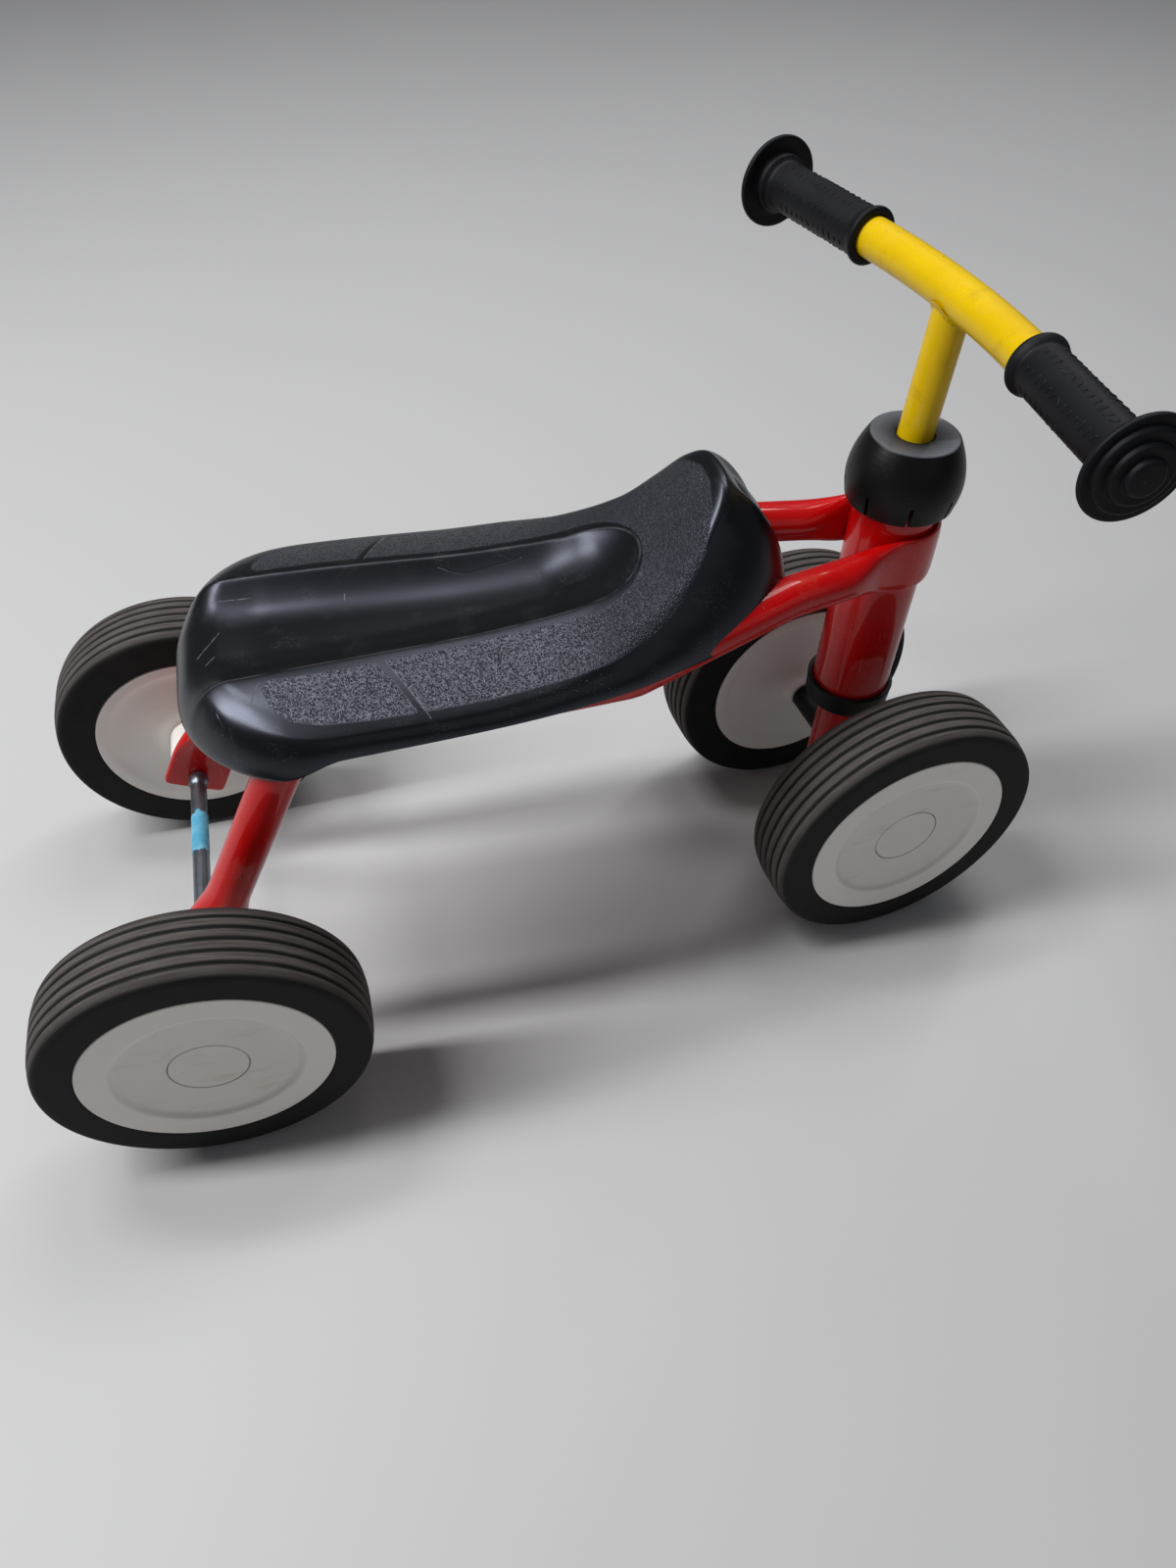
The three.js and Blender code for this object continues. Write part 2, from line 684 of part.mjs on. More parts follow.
function headCap() {
  const crown = headTubeTop + fitGap + bearingFlange + runningGap;
  const skirt = around(headTubeRadius + 2 * runningGap, headFacets);
  const bore = around(stemRadius + fitGap, headFacets);
  const bulge = new THREE.SplineCurve([
    new THREE.Vector2(capBottomRadius, capBottom + 1),
    new THREE.Vector2((capBottomRadius + 2 * capRadius) / 3, (capBottom + capWidest) / 2),
    new THREE.Vector2(capRadius, capWidest),
    new THREE.Vector2((capTopRadius + 2 * capRadius) / 3, (capWidest + capTop) / 2 + 1.5),
    new THREE.Vector2(capTopRadius + 1, capTop - 0.8),
  ]).getPoints(5).map((p) => [p.x, p.y]);
  const body = alongZ(revolve([
    [skirt, capBottom],
    [capBottomRadius - 0.8, capBottom],
    ...bulge,
    [capTopRadius, capTop],
    [bore + capRecessWidth, capTop],
    [bore + capRecessWidth, capTop - capRecessDepth],
    [bore, capTop - capRecessDepth],
    [bore, crown],
    [skirt, crown],
  ], headFacets));
  const slots = [];
  for (let k = 0; k < capSlotCount; k += 1) {
    const slot = new THREE.BoxGeometry(capRadius, capSlotWidth, 2 * capSlotHeight);
    slot.translate(headTubeRadius + capRadius / 2, 0, capBottom);
    slots.push(slot.rotateZ((2 * Math.PI * (k + 0.5)) / capSlotCount));
  }
  return cut(body, ...slots);
}

// ---------------------------------------------------------------------------
// Grips
// ---------------------------------------------------------------------------

function grip(side) {
  const bore = around(barRadius + fitGap, gripFacets);
  const disc = gripLength;
  const face = disc + gripDiscThickness;
  const profile = [
    [bore, 0],
    [gripBeadRadius - 0.8, 0],
    [gripBeadRadius, 1.2],
    [gripBeadRadius, gripBeadLength - 1.5],
    [gripRadius, gripBeadLength],
    [gripRadius, disc - gripRingLength - 1],
    [gripRingRadius, disc - gripRingLength + 1],
    [gripRingRadius, disc],
    [gripDiscRadius, disc],
    [gripDiscRadius, face - 1],
  ];
  for (let k = 0; k < gripStepCount; k += 1) {
    const radius = gripDiscRadius - 2 - k * gripStepInset;
    profile.push([radius, face + k * gripStepHeight - 0.6]);
    profile.push([radius - 0.6, face + (k + 1) * gripStepHeight - 0.6]);
  }
  profile.push([0, face + gripStepCount * gripStepHeight], [0, disc], [bore, disc]);
  const start = new THREE.Vector3(
    barForward + barArcRadius * (Math.cos(barSweep) - 1),
    side * barArcHalfSpan,
    barHeight,
  );
  const turn = side > 0 ? barSweep : Math.PI - barSweep;
  return revolve(profile, gripFacets).rotateZ(turn).translate(start.x, start.y, start.z);
}

// ---------------------------------------------------------------------------
// Wheels. Each piece is turned about Y, with its outer face towards +Y.
// ---------------------------------------------------------------------------

const dishedFace = faceOut - faceStepDepth;
const pocketFloor = dishedFace - hubPocketDepth;
const drumRadius = rimBackRadius - tyreSeatDepth;
const lipFace = faceOut - rimLip;

function tread() {
  const shoulder = (y) => Math.max(0, Math.abs(y) - treadFlat) / (faceOut - treadFlat);
  const crown = (y) => wheelRadius - treadDrop * shoulder(y) ** 2;
  const corner = (y, depth = 0) => [around(crown(y) - depth, tyreFacets), y];
  const points = [];
  for (let k = 0; k < grooveCount; k += 1) {
    const middle = (k - (grooveCount - 1) / 2) * groovePitch;
    points.push(corner(middle - grooveWidth / 2));
    points.push(corner(middle, grooveDepth));
    points.push(corner(middle + grooveWidth / 2));
  }
  return points;
}

function tyre() {
  const seat = (radius) => around(radius + fitGap, tyreFacets);
  const shoulder = around(wheelRadius - treadDrop, tyreFacets);
  return revolve([
    [seat(rimBackRadius), -faceOut],
    [shoulder - 1.2, -faceOut],
    ...tread(),
    [shoulder - 1.2, faceOut],
    [seat(rimFaceRadius), faceOut],
    [seat(rimFaceRadius), lipFace - fitGap],
    [seat(drumRadius), lipFace - fitGap],
    [seat(drumRadius), -lipFace + fitGap],
    [seat(rimBackRadius), -lipFace + fitGap],
  ], tyreFacets);
}

// The boss is a hollow-sided cone round the bore, on the rim's inner face.
function rim(bossLength) {
  const bore = around(hubBore, rimFacets);
  const boss = [
    [bore, -faceOut - bossLength],
    [frontBossRadius, -faceOut - bossLength],
    [frontBossRadius + 1.5, -faceOut - bossLength * 0.45],
  ];
  return revolve([
    ...(bossLength > 0 ? boss : [[bore, -faceOut]]),
    [backHubRadius, -faceOut],
    [rimBackRadius - 9, -faceOut + backDishDepth],
    [rimBackRadius - 5, -faceOut],
    [rimBackRadius, -faceOut],
    [rimBackRadius, -lipFace],
    [drumRadius, -lipFace],
    [drumRadius, lipFace],
    [rimFaceRadius, lipFace],
    [rimFaceRadius, faceOut],
    [faceStepRadius + faceStepWidth / 2, faceOut],
    [faceStepRadius - faceStepWidth / 2, dishedFace],
    [around(hubCapRadius + fitGap, rimFacets), dishedFace],
    [around(hubCapRadius + fitGap, rimFacets), pocketFloor],
    [bore, pocketFloor],
  ], rimFacets);
}

function hubBush(bossLength) {
  const length = pocketFloor + faceOut + bossLength;
  return sleeve(bushRadius, bushBore, length, 10).translate(0, pocketFloor - length / 2, 0);
}

const hubCap = () => revolve([
  [0, dishedFace - hubCapThickness],
  [hubCapRadius, dishedFace - hubCapThickness],
  [hubCapRadius, dishedFace - 0.5],
  [hubCapRadius - 0.5, dishedFace],
  [0, dishedFace],
], 14);

const axleNut = () => sleeve(axleNutRadius, axleRadius + fitGap, axleNutThickness, 10)
  .translate(0, pocketFloor + runningGap + axleNutThickness / 2, 0);

// How far an axle reaches past the middle of its wheel.
const axleReach = pocketFloor + runningGap + axleNutThickness - 0.4;

// The spin turns a wheel about its axle until one of its flat facets faces the ground.
function addWheel(parent, name, y, bossLength, spin) {
  const wheel = new THREE.Group();
  wheel.position.set(0, y, axleHeight);
  wheel.rotation.set(0, spin, y < 0 ? Math.PI : 0);
  wheel.add(part(`${name}_tyre`, tyre(), tyreRubber));
  wheel.add(part(`${name}_rim`, rim(bossLength), whitePlastic));
  wheel.add(part(`${name}_hub_cap`, hubCap(), whitePlastic));
  wheel.add(part(`${name}_bush`, hubBush(bossLength), mattePlastic));
  wheel.add(part(`${name}_axle_nut`, axleNut(), zincSteel));
  parent.add(wheel);
}

// ---------------------------------------------------------------------------
// Axles and what sits on them
// ---------------------------------------------------------------------------

const plateInner = footPlateSpread - footPlateHalfThickness - fitGap;
const plateOuter = footPlateSpread + footPlateHalfThickness + fitGap;

function rearAxle() {
  const end = rearTrack / 2 + axleReach;
  const half = [
    [rearRodRadius, plateInner - rodShoulderLength],
    [rodShoulderRadius, plateInner - rodShoulderLength * 0.6],
    [rodShoulderRadius, plateInner - rodShoulderLength * 0.25],
    [rearRodRadius, plateInner],
    [axleRadius, plateInner],
    [axleRadius, end],
    [0, end],
  ];
  const mirrored = half.map(([radius, y]) => [radius, -y]).reverse();
  return revolve([...mirrored, ...half], pinFacets).translate(0, 0, axleHeight);
}

const frontAxle = () => pin(axleRadius, frontTrack + 2 * axleReach).translate(0, 0, axleHeight);

function between(geometryOf, inner, outer, side) {
  return geometryOf(outer - inner).translate(0, side * (inner + outer) / 2, axleHeight);
}

const washerEnd = plateOuter + washerThickness;

const rearWasher = (side) => between(
  (length) => sleeve(washerRadius, axleRadius + fitGap, length),
  plateOuter,
  washerEnd,
  side,
);

const rearSpacer = (side) => between(
  (length) => sleeve(rearSpacerRadius, axleRadius + fitGap, length, 14),
  washerEnd + fitGap,
  rearHubInner - runningGap,
  side,
);

function frontSpacer(side) {
  const tube = between(
    (length) => sleeve(frontSpacerRadius, axleRadius + fitGap, length, 14),
    columnRadius / 2,
    frontHubInner - runningGap,
    side,
  );
  return cut(tube, alongZ(pin(around(columnRadius + fitGap, 18), 60, 18)).translate(0, 0, axleHeight));
}

// ---------------------------------------------------------------------------
// Saddle: a moulded shell, open underneath, with a trough along its top
// ---------------------------------------------------------------------------

// Half a plan outline, from the middle of the rear to the middle of the front, moved in by a margin.
function halfOutline(edge, margin) {
  const { rear, rearRadius, halfWidth, neck, neckHalfWidth, slope, front, noseHalfWidth } = edge;
  const width = halfWidth - margin;
  const radius = rearRadius - margin;
  const neckWidth = neckHalfWidth - margin;
  const start = rear + margin;
  const end = front - margin;
  const cornerEnd = start + radius;
  const sideLength = neck - cornerEnd;
  const handle = (end - neck) * 0.55;
  const path = new THREE.Path();
  path.moveTo(start, 0);
  path.lineTo(start, width - radius);
  path.absarc(cornerEnd, width - radius, radius, Math.PI, Math.PI / 2, true);
  path.bezierCurveTo(
    cornerEnd + sideLength * 0.5,
    width,
    neck - sideLength * 0.25,
    neckWidth + sideLength * 0.25 * slope,
    neck,
    neckWidth,
  );
  path.bezierCurveTo(neck + handle, neckWidth - handle * slope, end, noseHalfWidth - margin, end, 0);
  return path;
}

const saddleLength = saddleFront - saddleRear;
const skirtLength = skirtFront - skirtRear;
const onSaddle = (share) => saddleRear + share * saddleLength;
const onSkirt = (share) => skirtRear + share * skirtLength;

const topEdge = {
  rear: saddleRear,
  rearRadius: saddleRearRadius,
  halfWidth: saddleHalfWidth,
  neck: onSaddle(0.83),
  neckHalfWidth: saddleNeckHalfWidth,
  slope: 0.4,
  front: saddleFront,
  noseHalfWidth: saddleNoseHalfWidth,
};

const skirtEdge = {
  rear: skirtRear,
  rearRadius: skirtRearRadius,
  halfWidth: skirtHalfWidth,
  neck: onSkirt(0.75),
  neckHalfWidth: skirtNeckHalfWidth,
  slope: 0.3,
  front: skirtFront,
  noseHalfWidth: 40,
};

// The straight line between the rails' two bends, which the whole saddle follows.
function railLine(x) {
  const share = (x - legTop.forward) / (railMiddle.forward - legTop.forward);
  return lerp(legTop.height, railMiddle.height, clamp(share, 0, 1));
}

// Values along the saddle as [share of its length, value]. The heights are above the seat's level.
const alongSaddle = (pairs) => through(pairs.map(([share, value]) => [onSaddle(share), value]));
const crownOffset = alongSaddle([
  [0, -1.2],
  [0.25, -0.9],
  [0.48, -1.2],
  [0.64, 0.8],
  [0.72, 3],
  [0.8, 0.17 * humpHeight],
  [0.86, 0.29 * humpHeight],
  [0.923, 0.6 * humpHeight],
  [0.97, 0.88 * humpHeight],
  [1, humpHeight],
]);
const sideFall = alongSaddle([
  [0.25, 0.0011],
  [0.64, 0.00125],
  [0.8, 0.0013],
  [0.86, 0.0011],
  [0.923, 0.0025],
  [0.955, 0.0031],
]);
const floorOffset = alongSaddle([
  [0, -1 - troughDepth],
  [0.12, -3.6 - troughDepth],
  [0.25, -3.3 - troughDepth],
  [0.48, -2.5 - troughDepth],
  [0.66, 1.2 - troughDepth],
  [0.78, 3.8 - troughDepth / 2],
  [troughLength, 0.25 * humpHeight],
]);
const troughSpread = alongSaddle([
  [0, troughHalfWidth],
  [0.25, 0.95 * troughHalfWidth],
  [0.64, 0.83 * troughHalfWidth],
  [0.74, 0.76 * troughHalfWidth],
  [0.78, 0.66 * troughHalfWidth],
  [0.81, 0.5 * troughHalfWidth],
  [0.835, 0.26 * troughHalfWidth],
  [troughLength, 0],
]);
const skirtDrop = through([
  [onSkirt(0.17), lugDrop],
  [onSkirt(0.25), 0.6],
  [onSkirt(0.7), -2.8],
  [onSkirt(0.88), -3.8],
  [skirtFront, 1.2],
]);
const skirtHeight = (x) => railLine(x) + skirtOverRails - skirtDrop(x);

// The fall of the top near the round rear end, strongest in the middle plane.
function rearFall(x, y) {
  const back = Math.max(0, saddleRear + saddleRearRadius - x);
  const aside = Math.max(0, Math.abs(y) - saddleHalfWidth + saddleRearRadius);
  const reach = Math.hypot(back, aside);
  const outward = Math.max(0, 1 - (saddleRearRadius - reach) / rearRollWidth);
  return reach > 0 ? rearRoll * outward ** 2 * (back / reach) : 0;
}

// The trough's banks start with an edge at the top and run out smoothly into its floor. The margin
// makes the trough wider and lower, for the shell's inner face.
function topHeight(x, y, margin = 0) {
  const spread = troughSpread(x) + margin;
  const inside = clamp((spread - Math.abs(y)) / troughBank, 0, 1);
  const trough = 1 - (1 - inside) ** 1.8;
  const level = railLine(x) + saddleOverRails - sideFall(x) * Math.abs(y) ** 2.2 - margin;
  const roll = rearFall(x, y);
  return level + lerp(crownOffset(x) - roll, floorOffset(x) - 0.3 * roll, trough);
}

const saddleSteps = 16;
const wallAngles = [90, 60, 32, 0];
const topShares = [0.12, 0.3, 0.49, 0.62, 0.74, 1];

// Both halves of a closed ring from a function that places its left half.
function mirroredRing(lines, place) {
  const left = lines.top.map((top, i) => place(top, lines.skirt[i]));
  const right = left.slice(1, -1).reverse().map((p) => p.clone().setY(-p.y));
  return [...left, ...right];
}

// The side wall bulges from the skirt to the top edge as a quarter of an ellipse. It is drawn down so
// that it leaves the edge with the slope that the top has there.
function wallRing(lines, angle, margin) {
  const out = Math.sin(degToRad(angle));
  const up = Math.cos(degToRad(angle));
  return mirroredRing(lines, (top, skirt) => {
    const low = skirtHeight(skirt.x);
    const high = topHeight(top.x, top.y, margin);
    const across = skirt.clone().sub(top);
    const step = across.clone().normalize();
    const fall = Math.max(0, high - topHeight(top.x + step.x, top.y + step.y, margin));
    const drop = fall * across.length() * out * up;
    const place = top.clone().addScaledVector(across, out);
    return new THREE.Vector3(place.x, place.y, low + (high - low) * up - drop);
  });
}

// A ring on the seat's top, moved from the edge towards a spine in the middle plane.
function topRing(lines, share, margin) {
  return mirroredRing(lines, (top) => {
    const spine = clamp(top.x, onSaddle(0.12), onSaddle(troughLength - 0.02));
    const x = top.x + (spine - top.x) * share;
    const y = top.y * (1 - share);
    return new THREE.Vector3(x, y, topHeight(x, y, margin));
  });
}

// A closed solid with the saddle's outer shape, moved in by a margin and drawn down by a depth.
function saddleSolid(margin, depth) {
  const lines = {
    top: halfOutline(topEdge, margin).getSpacedPoints(saddleSteps),
    skirt: halfOutline(skirtEdge, margin).getSpacedPoints(saddleSteps),
  };
  const walls = wallAngles.map((angle) => wallRing(lines, angle, margin));
  const tops = topShares.map((share) => topRing(lines, share, margin));
  const below = walls[0].map((p) => p.clone().setZ(p.z - depth));
  return loft(depth > 0 ? [below, ...walls, ...tops] : [...walls, ...tops], false);
}

function boss(spot) {
  const bottom = spot.z + strapThickness / 2 + fitGap;
  const height = 60;
  return alongZ(pin(bossRadius, height, 10)).translate(spot.x, spot.y, bottom + height / 2);
}

function saddleShell() {
  const outside = saddleSolid(0, 0);
  const inside = saddleSolid(saddleWall, 30);
  const core = saddleSolid(saddleWall / 2, 30);
  const shell = cut(outside, inside);
  const spots = [...screwSpots(rearStrapForward), ...screwSpots(frontStrapForward)];
  const bosses = spots.map((spot) => overlap(boss(spot), core));
  const ribs = ribShares.map((share) => {
    const height = 2 * (saddleOverRails + humpHeight);
    const plate = new THREE.BoxGeometry(ribThickness, 4 * saddleHalfWidth, height);
    plate.translate(onSaddle(share), 0, railLine(onSaddle(share)) + tubeRadius + height / 2);
    return overlap(plate, core);
  });
  const tube = loft(tubeStations().map((station) => tubeSection(station, 0.9)));
  return cut(join(shell, ...bosses, ...ribs), tube, ...spots.map(screwHole));
}

// ---------------------------------------------------------------------------
// Assembly
// ---------------------------------------------------------------------------

const vehicle = new THREE.Group();
vehicle.position.x = -midLength;

vehicle.add(part('frame_tube', frameTube(), redPaint));
vehicle.add(part('rear_seat_strap', strap(rearStrapForward), redPaint));
vehicle.add(part('front_seat_strap', strap(frontStrapForward), redPaint));
vehicle.add(part('saddle_shell', saddleShell(), blackPlastic));
[...screwSpots(rearStrapForward), ...screwSpots(frontStrapForward)].forEach((spot, i) => {
  vehicle.add(part(`saddle_screw_${i + 1}`, screw(spot), zincSteel));
});

// The steering axis leans forward through the front axle. Pieces on it keep their heights above the ground.
const axis = new THREE.Group();
axis.position.set(wheelbase, 0, axleHeight);
axis.rotation.y = lean;
const head = new THREE.Group();
head.position.z = -axleHeight;
axis.add(head);
head.add(part('head_tube', headTube(), redPaint));
head.add(part('bearing_cup', bearingCup(), mattePlastic));
head.add(part('lower_steering_bush', lowerBush(), mattePlastic));
head.add(part('upper_steering_bush', upperBush(), mattePlastic));
vehicle.add(axis);

const steering = new THREE.Group();
steering.rotation.z = steer;
steering.add(part('steering_column', steeringColumn(), redPaint));
steering.add(part('handlebar_stem', stem(), yellowPaint));
steering.add(part('clamp_bolt', clampBolt(), zincSteel));
steering.add(part('handlebar_tube', handlebarTube(), yellowPaint));
steering.add(part('head_cap', headCap(), mattePlastic));
steering.add(part('grip_left', grip(1), gripRubber));
steering.add(part('grip_right', grip(-1), gripRubber));
steering.add(part('front_axle', frontAxle(), zincSteel));
steering.add(part('front_spacer_left', frontSpacer(1), mattePlastic));
steering.add(part('front_spacer_right', frontSpacer(-1), mattePlastic));
addWheel(steering, 'front_left', frontTrack / 2, frontBossLength, -lean);
addWheel(steering, 'front_right', -frontTrack / 2, frontBossLength, -lean);
head.add(steering);

vehicle.add(part('rear_axle', rearAxle(), zincSteel));
for (const [side, name] of [[1, 'left'], [-1, 'right']]) {
  vehicle.add(part(`rear_washer_${name}`, rearWasher(side), zincSteel));
  vehicle.add(part(`rear_spacer_${name}`, rearSpacer(side), whitePlastic));
}
addWheel(vehicle, 'rear_left', rearTrack / 2, 0, 0);
addWheel(vehicle, 'rear_right', -rearTrack / 2, 0, 0);

const rideOn = new THREE.Group();
rideOn.add(vehicle);
rideOn.updateMatrixWorld(true);

export default rideOn;
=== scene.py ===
# %% [markdown]
# # A ride-on for toddlers, dressed in Blender
# The real thing is a bent steel tube with a moulded saddle, a T-shaped bar on a steered axle and four
# plastic wheels with ribbed tyres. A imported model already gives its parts, sizes and joints. This lesson
# puts finer pieces with real finishes in the same places, one short cell at a time.

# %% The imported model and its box
import json
import math

import bmesh
import bpy
import numpy as np
from mathutils import Matrix, Vector

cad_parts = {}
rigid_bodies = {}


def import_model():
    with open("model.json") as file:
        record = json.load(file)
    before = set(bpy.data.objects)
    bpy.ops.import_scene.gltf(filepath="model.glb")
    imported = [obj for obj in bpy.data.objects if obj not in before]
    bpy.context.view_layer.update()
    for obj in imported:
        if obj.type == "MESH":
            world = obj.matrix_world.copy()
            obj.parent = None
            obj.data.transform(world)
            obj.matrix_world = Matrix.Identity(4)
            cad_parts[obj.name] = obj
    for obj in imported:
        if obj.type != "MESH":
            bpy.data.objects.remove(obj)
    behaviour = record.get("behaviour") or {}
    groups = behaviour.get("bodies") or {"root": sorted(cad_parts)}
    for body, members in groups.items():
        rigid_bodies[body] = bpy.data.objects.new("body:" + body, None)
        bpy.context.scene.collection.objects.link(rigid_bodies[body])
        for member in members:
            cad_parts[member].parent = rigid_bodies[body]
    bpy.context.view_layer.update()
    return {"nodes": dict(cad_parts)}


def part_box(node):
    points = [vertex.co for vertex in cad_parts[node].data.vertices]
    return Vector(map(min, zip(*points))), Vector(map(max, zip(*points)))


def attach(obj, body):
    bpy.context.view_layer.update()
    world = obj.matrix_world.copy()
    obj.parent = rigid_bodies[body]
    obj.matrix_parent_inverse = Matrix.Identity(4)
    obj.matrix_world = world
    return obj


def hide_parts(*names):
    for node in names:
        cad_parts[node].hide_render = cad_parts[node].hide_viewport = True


for thing in list(bpy.data.objects):
    bpy.data.objects.remove(thing)
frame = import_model()

# %% [markdown]
# ## Sizes
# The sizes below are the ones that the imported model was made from, in millimetres. Pieces are worked out
# in millimetres because these are the numbers a maker would read off the part, and only the last step
# turns them into Blender's metres. +X points forward, +Y to the rider's left and +Z up.

# %% Sizes of the wheels and axles
MM = 0.001
WHEEL_RADIUS = 80
TYRE_WIDTH = 39.7
HALF_TYRE = TYRE_WIDTH / 2
WHEELBASE = 381.5
REAR_TRACK = 233.3
FRONT_TRACK = 137.2
STEER = math.radians(5.3)
LEAN = math.radians(1.6)
AXLE_RADIUS = 4
ROD_RADIUS = 4.6
FOOT_SPREAD = 65
front_reach = WHEELBASE + (FRONT_TRACK / 2 + HALF_TYRE) * math.sin(STEER) + WHEEL_RADIUS * math.cos(STEER)
MID_LENGTH = (front_reach - WHEEL_RADIUS) / 2
print("the rear axle lies", round(MID_LENGTH, 2), "mm behind the middle")

# %% Sizes of the frame, the head and the bar
TUBE_RADIUS = 10.6
BEND_RADIUS = 30
RAIL_HEIGHT = 225
NOSE_HALF_THICKNESS = 1.7
NOSE_HALF_HEIGHT = 15.5
HEAD_RADIUS = 21.65
HEAD_BORE = 19.05
HEAD_BOTTOM = 120.5
HEAD_TOP = 258
COLUMN_RADIUS = 13.8
STEM_RADIUS = 8.8
BAR_RADIUS = 9.5
CAP_TOP = 286
CAP_BOTTOM = 250
BAR_HEIGHT = 353
BAR_FORWARD = 1.8
BAR_ARC = 424
BAR_HALF_SPAN = 65
BAR_SWEEP = math.asin(BAR_HALF_SPAN / BAR_ARC)
GRIP_LENGTH = 76.6
NOSE_CENTRE = WHEELBASE + (RAIL_HEIGHT - WHEEL_RADIUS) * math.tan(LEAN)
NOSE_RADIUS = HEAD_RADIUS + 0.3 + NOSE_HALF_THICKNESS
print("the rails meet the head tube", round(NOSE_CENTRE, 1), "mm ahead of the rear axle")

# %% [markdown]
# ## Places
# A turned piece is easiest to draw round its own axis. So each place on the vehicle gets a matrix: one for
# the frame, one for the leaning head, one for what steers with the bar, and one for each wheel. A wheel's
# matrix turns the piece's Z axis along the axle, with its outer face pointing away from the vehicle.

# %% Matrices for the places
def shift(x, y, z):
    return Matrix.Translation((x * MM, y * MM, z * MM))


VEHICLE = shift(-MID_LENGTH, 0, 0)
FRONT_AXLE = VEHICLE @ shift(WHEELBASE, 0, WHEEL_RADIUS)
HEAD = FRONT_AXLE @ Matrix.Rotation(LEAN, 4, "Y") @ shift(0, 0, -WHEEL_RADIUS)
STEERING = HEAD @ Matrix.Rotation(STEER, 4, "Z")


def along_axle(side):
    return Matrix.Rotation(-side * math.pi / 2, 4, "X")


SIDES = ((1, "left"), (-1, "right"))
WHEELS = {
    "front_left": (STEERING, FRONT_TRACK / 2, 1),
    "front_right": (STEERING, -FRONT_TRACK / 2, -1),
    "rear_left": (VEHICLE, REAR_TRACK / 2, 1),
    "rear_right": (VEHICLE, -REAR_TRACK / 2, -1),
}
print("places ready for", ", ".join(WHEELS))

# %% [markdown]
# ## Camera, floor and light
# The camera stands a little behind the saddle and looks down at it, 48 degrees steep, as a parent would.
# Its axes are built from the viewing direction and a small roll. The floor is one plain pale sheet. Narrow
# lamps draw the bright lines along tubes and rolled edges, wide ones light the parts evenly, and a faint
# world fills the shadows, all at a level where each colour looks about as it is written.

# %% The camera
CAMERA_PLACE = Vector((109.4 - MID_LENGTH, -430.4, 570.3)) * MM
AZIMUTH = math.radians(-14.935)
ELEVATION = math.radians(47.862)
ROLL = math.radians(0.318)
FOCAL_PIXELS = 1135.18
FRAME_HEIGHT = 1600
SENSOR = 36

forward = Vector((
    -math.sin(AZIMUTH) * math.cos(ELEVATION),
    math.cos(AZIMUTH) * math.cos(ELEVATION),
    -math.sin(ELEVATION),
))
level = forward.cross(Vector((0, 0, 1))).normalized()
upward = level.cross(forward)
right = math.cos(ROLL) * level + math.sin(ROLL) * upward
above = math.cos(ROLL) * upward - math.sin(ROLL) * level
camera = bpy.data.objects.new("camera", bpy.data.cameras.new("camera"))
camera.data.sensor_width = SENSOR
camera.data.lens = FOCAL_PIXELS * SENSOR / FRAME_HEIGHT
camera.data.clip_start = 0.01
camera_turn = Matrix((right, above, -forward)).transposed().to_4x4()
camera.matrix_world = Matrix.Translation(CAMERA_PLACE) @ camera_turn
bpy.context.scene.collection.objects.link(camera)
bpy.context.scene.camera = camera
bpy.context.scene.view_settings.view_transform = "Standard"
print("lens", round(camera.data.lens, 2), "mm")


# %% Lamps and the world
def lamp(name, place, target, size, watts):
    data = bpy.data.lights.new(name, "AREA")
    data.shape = "RECTANGLE"
    data.size, data.size_y = size
    data.energy = watts
    thing = bpy.data.objects.new(name, data)
    place, target = Vector(place), Vector(target)
    aim = (target - place).to_track_quat("-Z", "Y").to_matrix().to_4x4()
    thing.matrix_world = Matrix.Translation(place) @ aim
    bpy.context.scene.collection.objects.link(thing)


lamp("strip_rear", (-1.45, 0.1, 1.9), (0, 0, 0.15), (0.24, 1.8), 46)
lamp("strip_front", (0.95, 0.8, 1.9), (0, 0, 0.15), (0.16, 2), 7)
lamp("strip_middle", (-0.6, 0.5, 1.9), (-0.6, 0.5, 0), (0.7, 0.18), 9)
lamp("soft_panel", (0.55, 0.8, 2.1), (0.55, 0.8, 0), (1.1, 0.6), 9)
lamp("soft_ceiling", (0.6, 1.7, 2.2), (0.6, 1.7, 0), (1.3, 1.8), 3)
lamp("soft_fill", (0.5, -1.5, 1), (0.1, 0, 0.1), (1.8, 1), 1.3)
world = bpy.data.worlds.new("studio")
bpy.context.scene.world = world
world.use_nodes = True
sky = world.node_tree.nodes["Background"].inputs
sky["Color"].default_value = (0.9, 0.93, 1, 1)
sky["Strength"].default_value = 0.1

# %% [markdown]
# ## Shader maths in plain Python
# A finish is mostly arithmetic on masks: where is it worn, how deep is the grain. Wiring Math nodes by
# hand hides that arithmetic. The class Signal wraps one socket, so that `1 - dust` or `rib * 0.3` adds the
# Math node by itself. Colours go through Mix, and every other node comes from the one method `node`.

# %% Signal, a socket that takes operators
def maths(operation, reflected=False):
    """A method that adds a Math node. Reflected, it puts the other value first."""
    def method(self, *others):
        values = (*others, self) if reflected else (self, *others)
        return self.finish.node("Math", dict(enumerate(values)), operation=operation)

    return method


class Signal:
    """One socket of a finish, on which Python's operators add Math nodes."""

    def __init__(self, finish, socket):
        self.finish = finish
        self.socket = socket

    __add__ = __radd__ = maths("ADD")
    __mul__ = __rmul__ = maths("MULTIPLY")
    __sub__ = maths("SUBTRACT")
    __rsub__ = maths("SUBTRACT", reflected=True)
    __abs__ = maths("ABSOLUTE")
    highest = maths("MAXIMUM")
    lowest = maths("MINIMUM")


print("sockets take + - * abs() from here on")


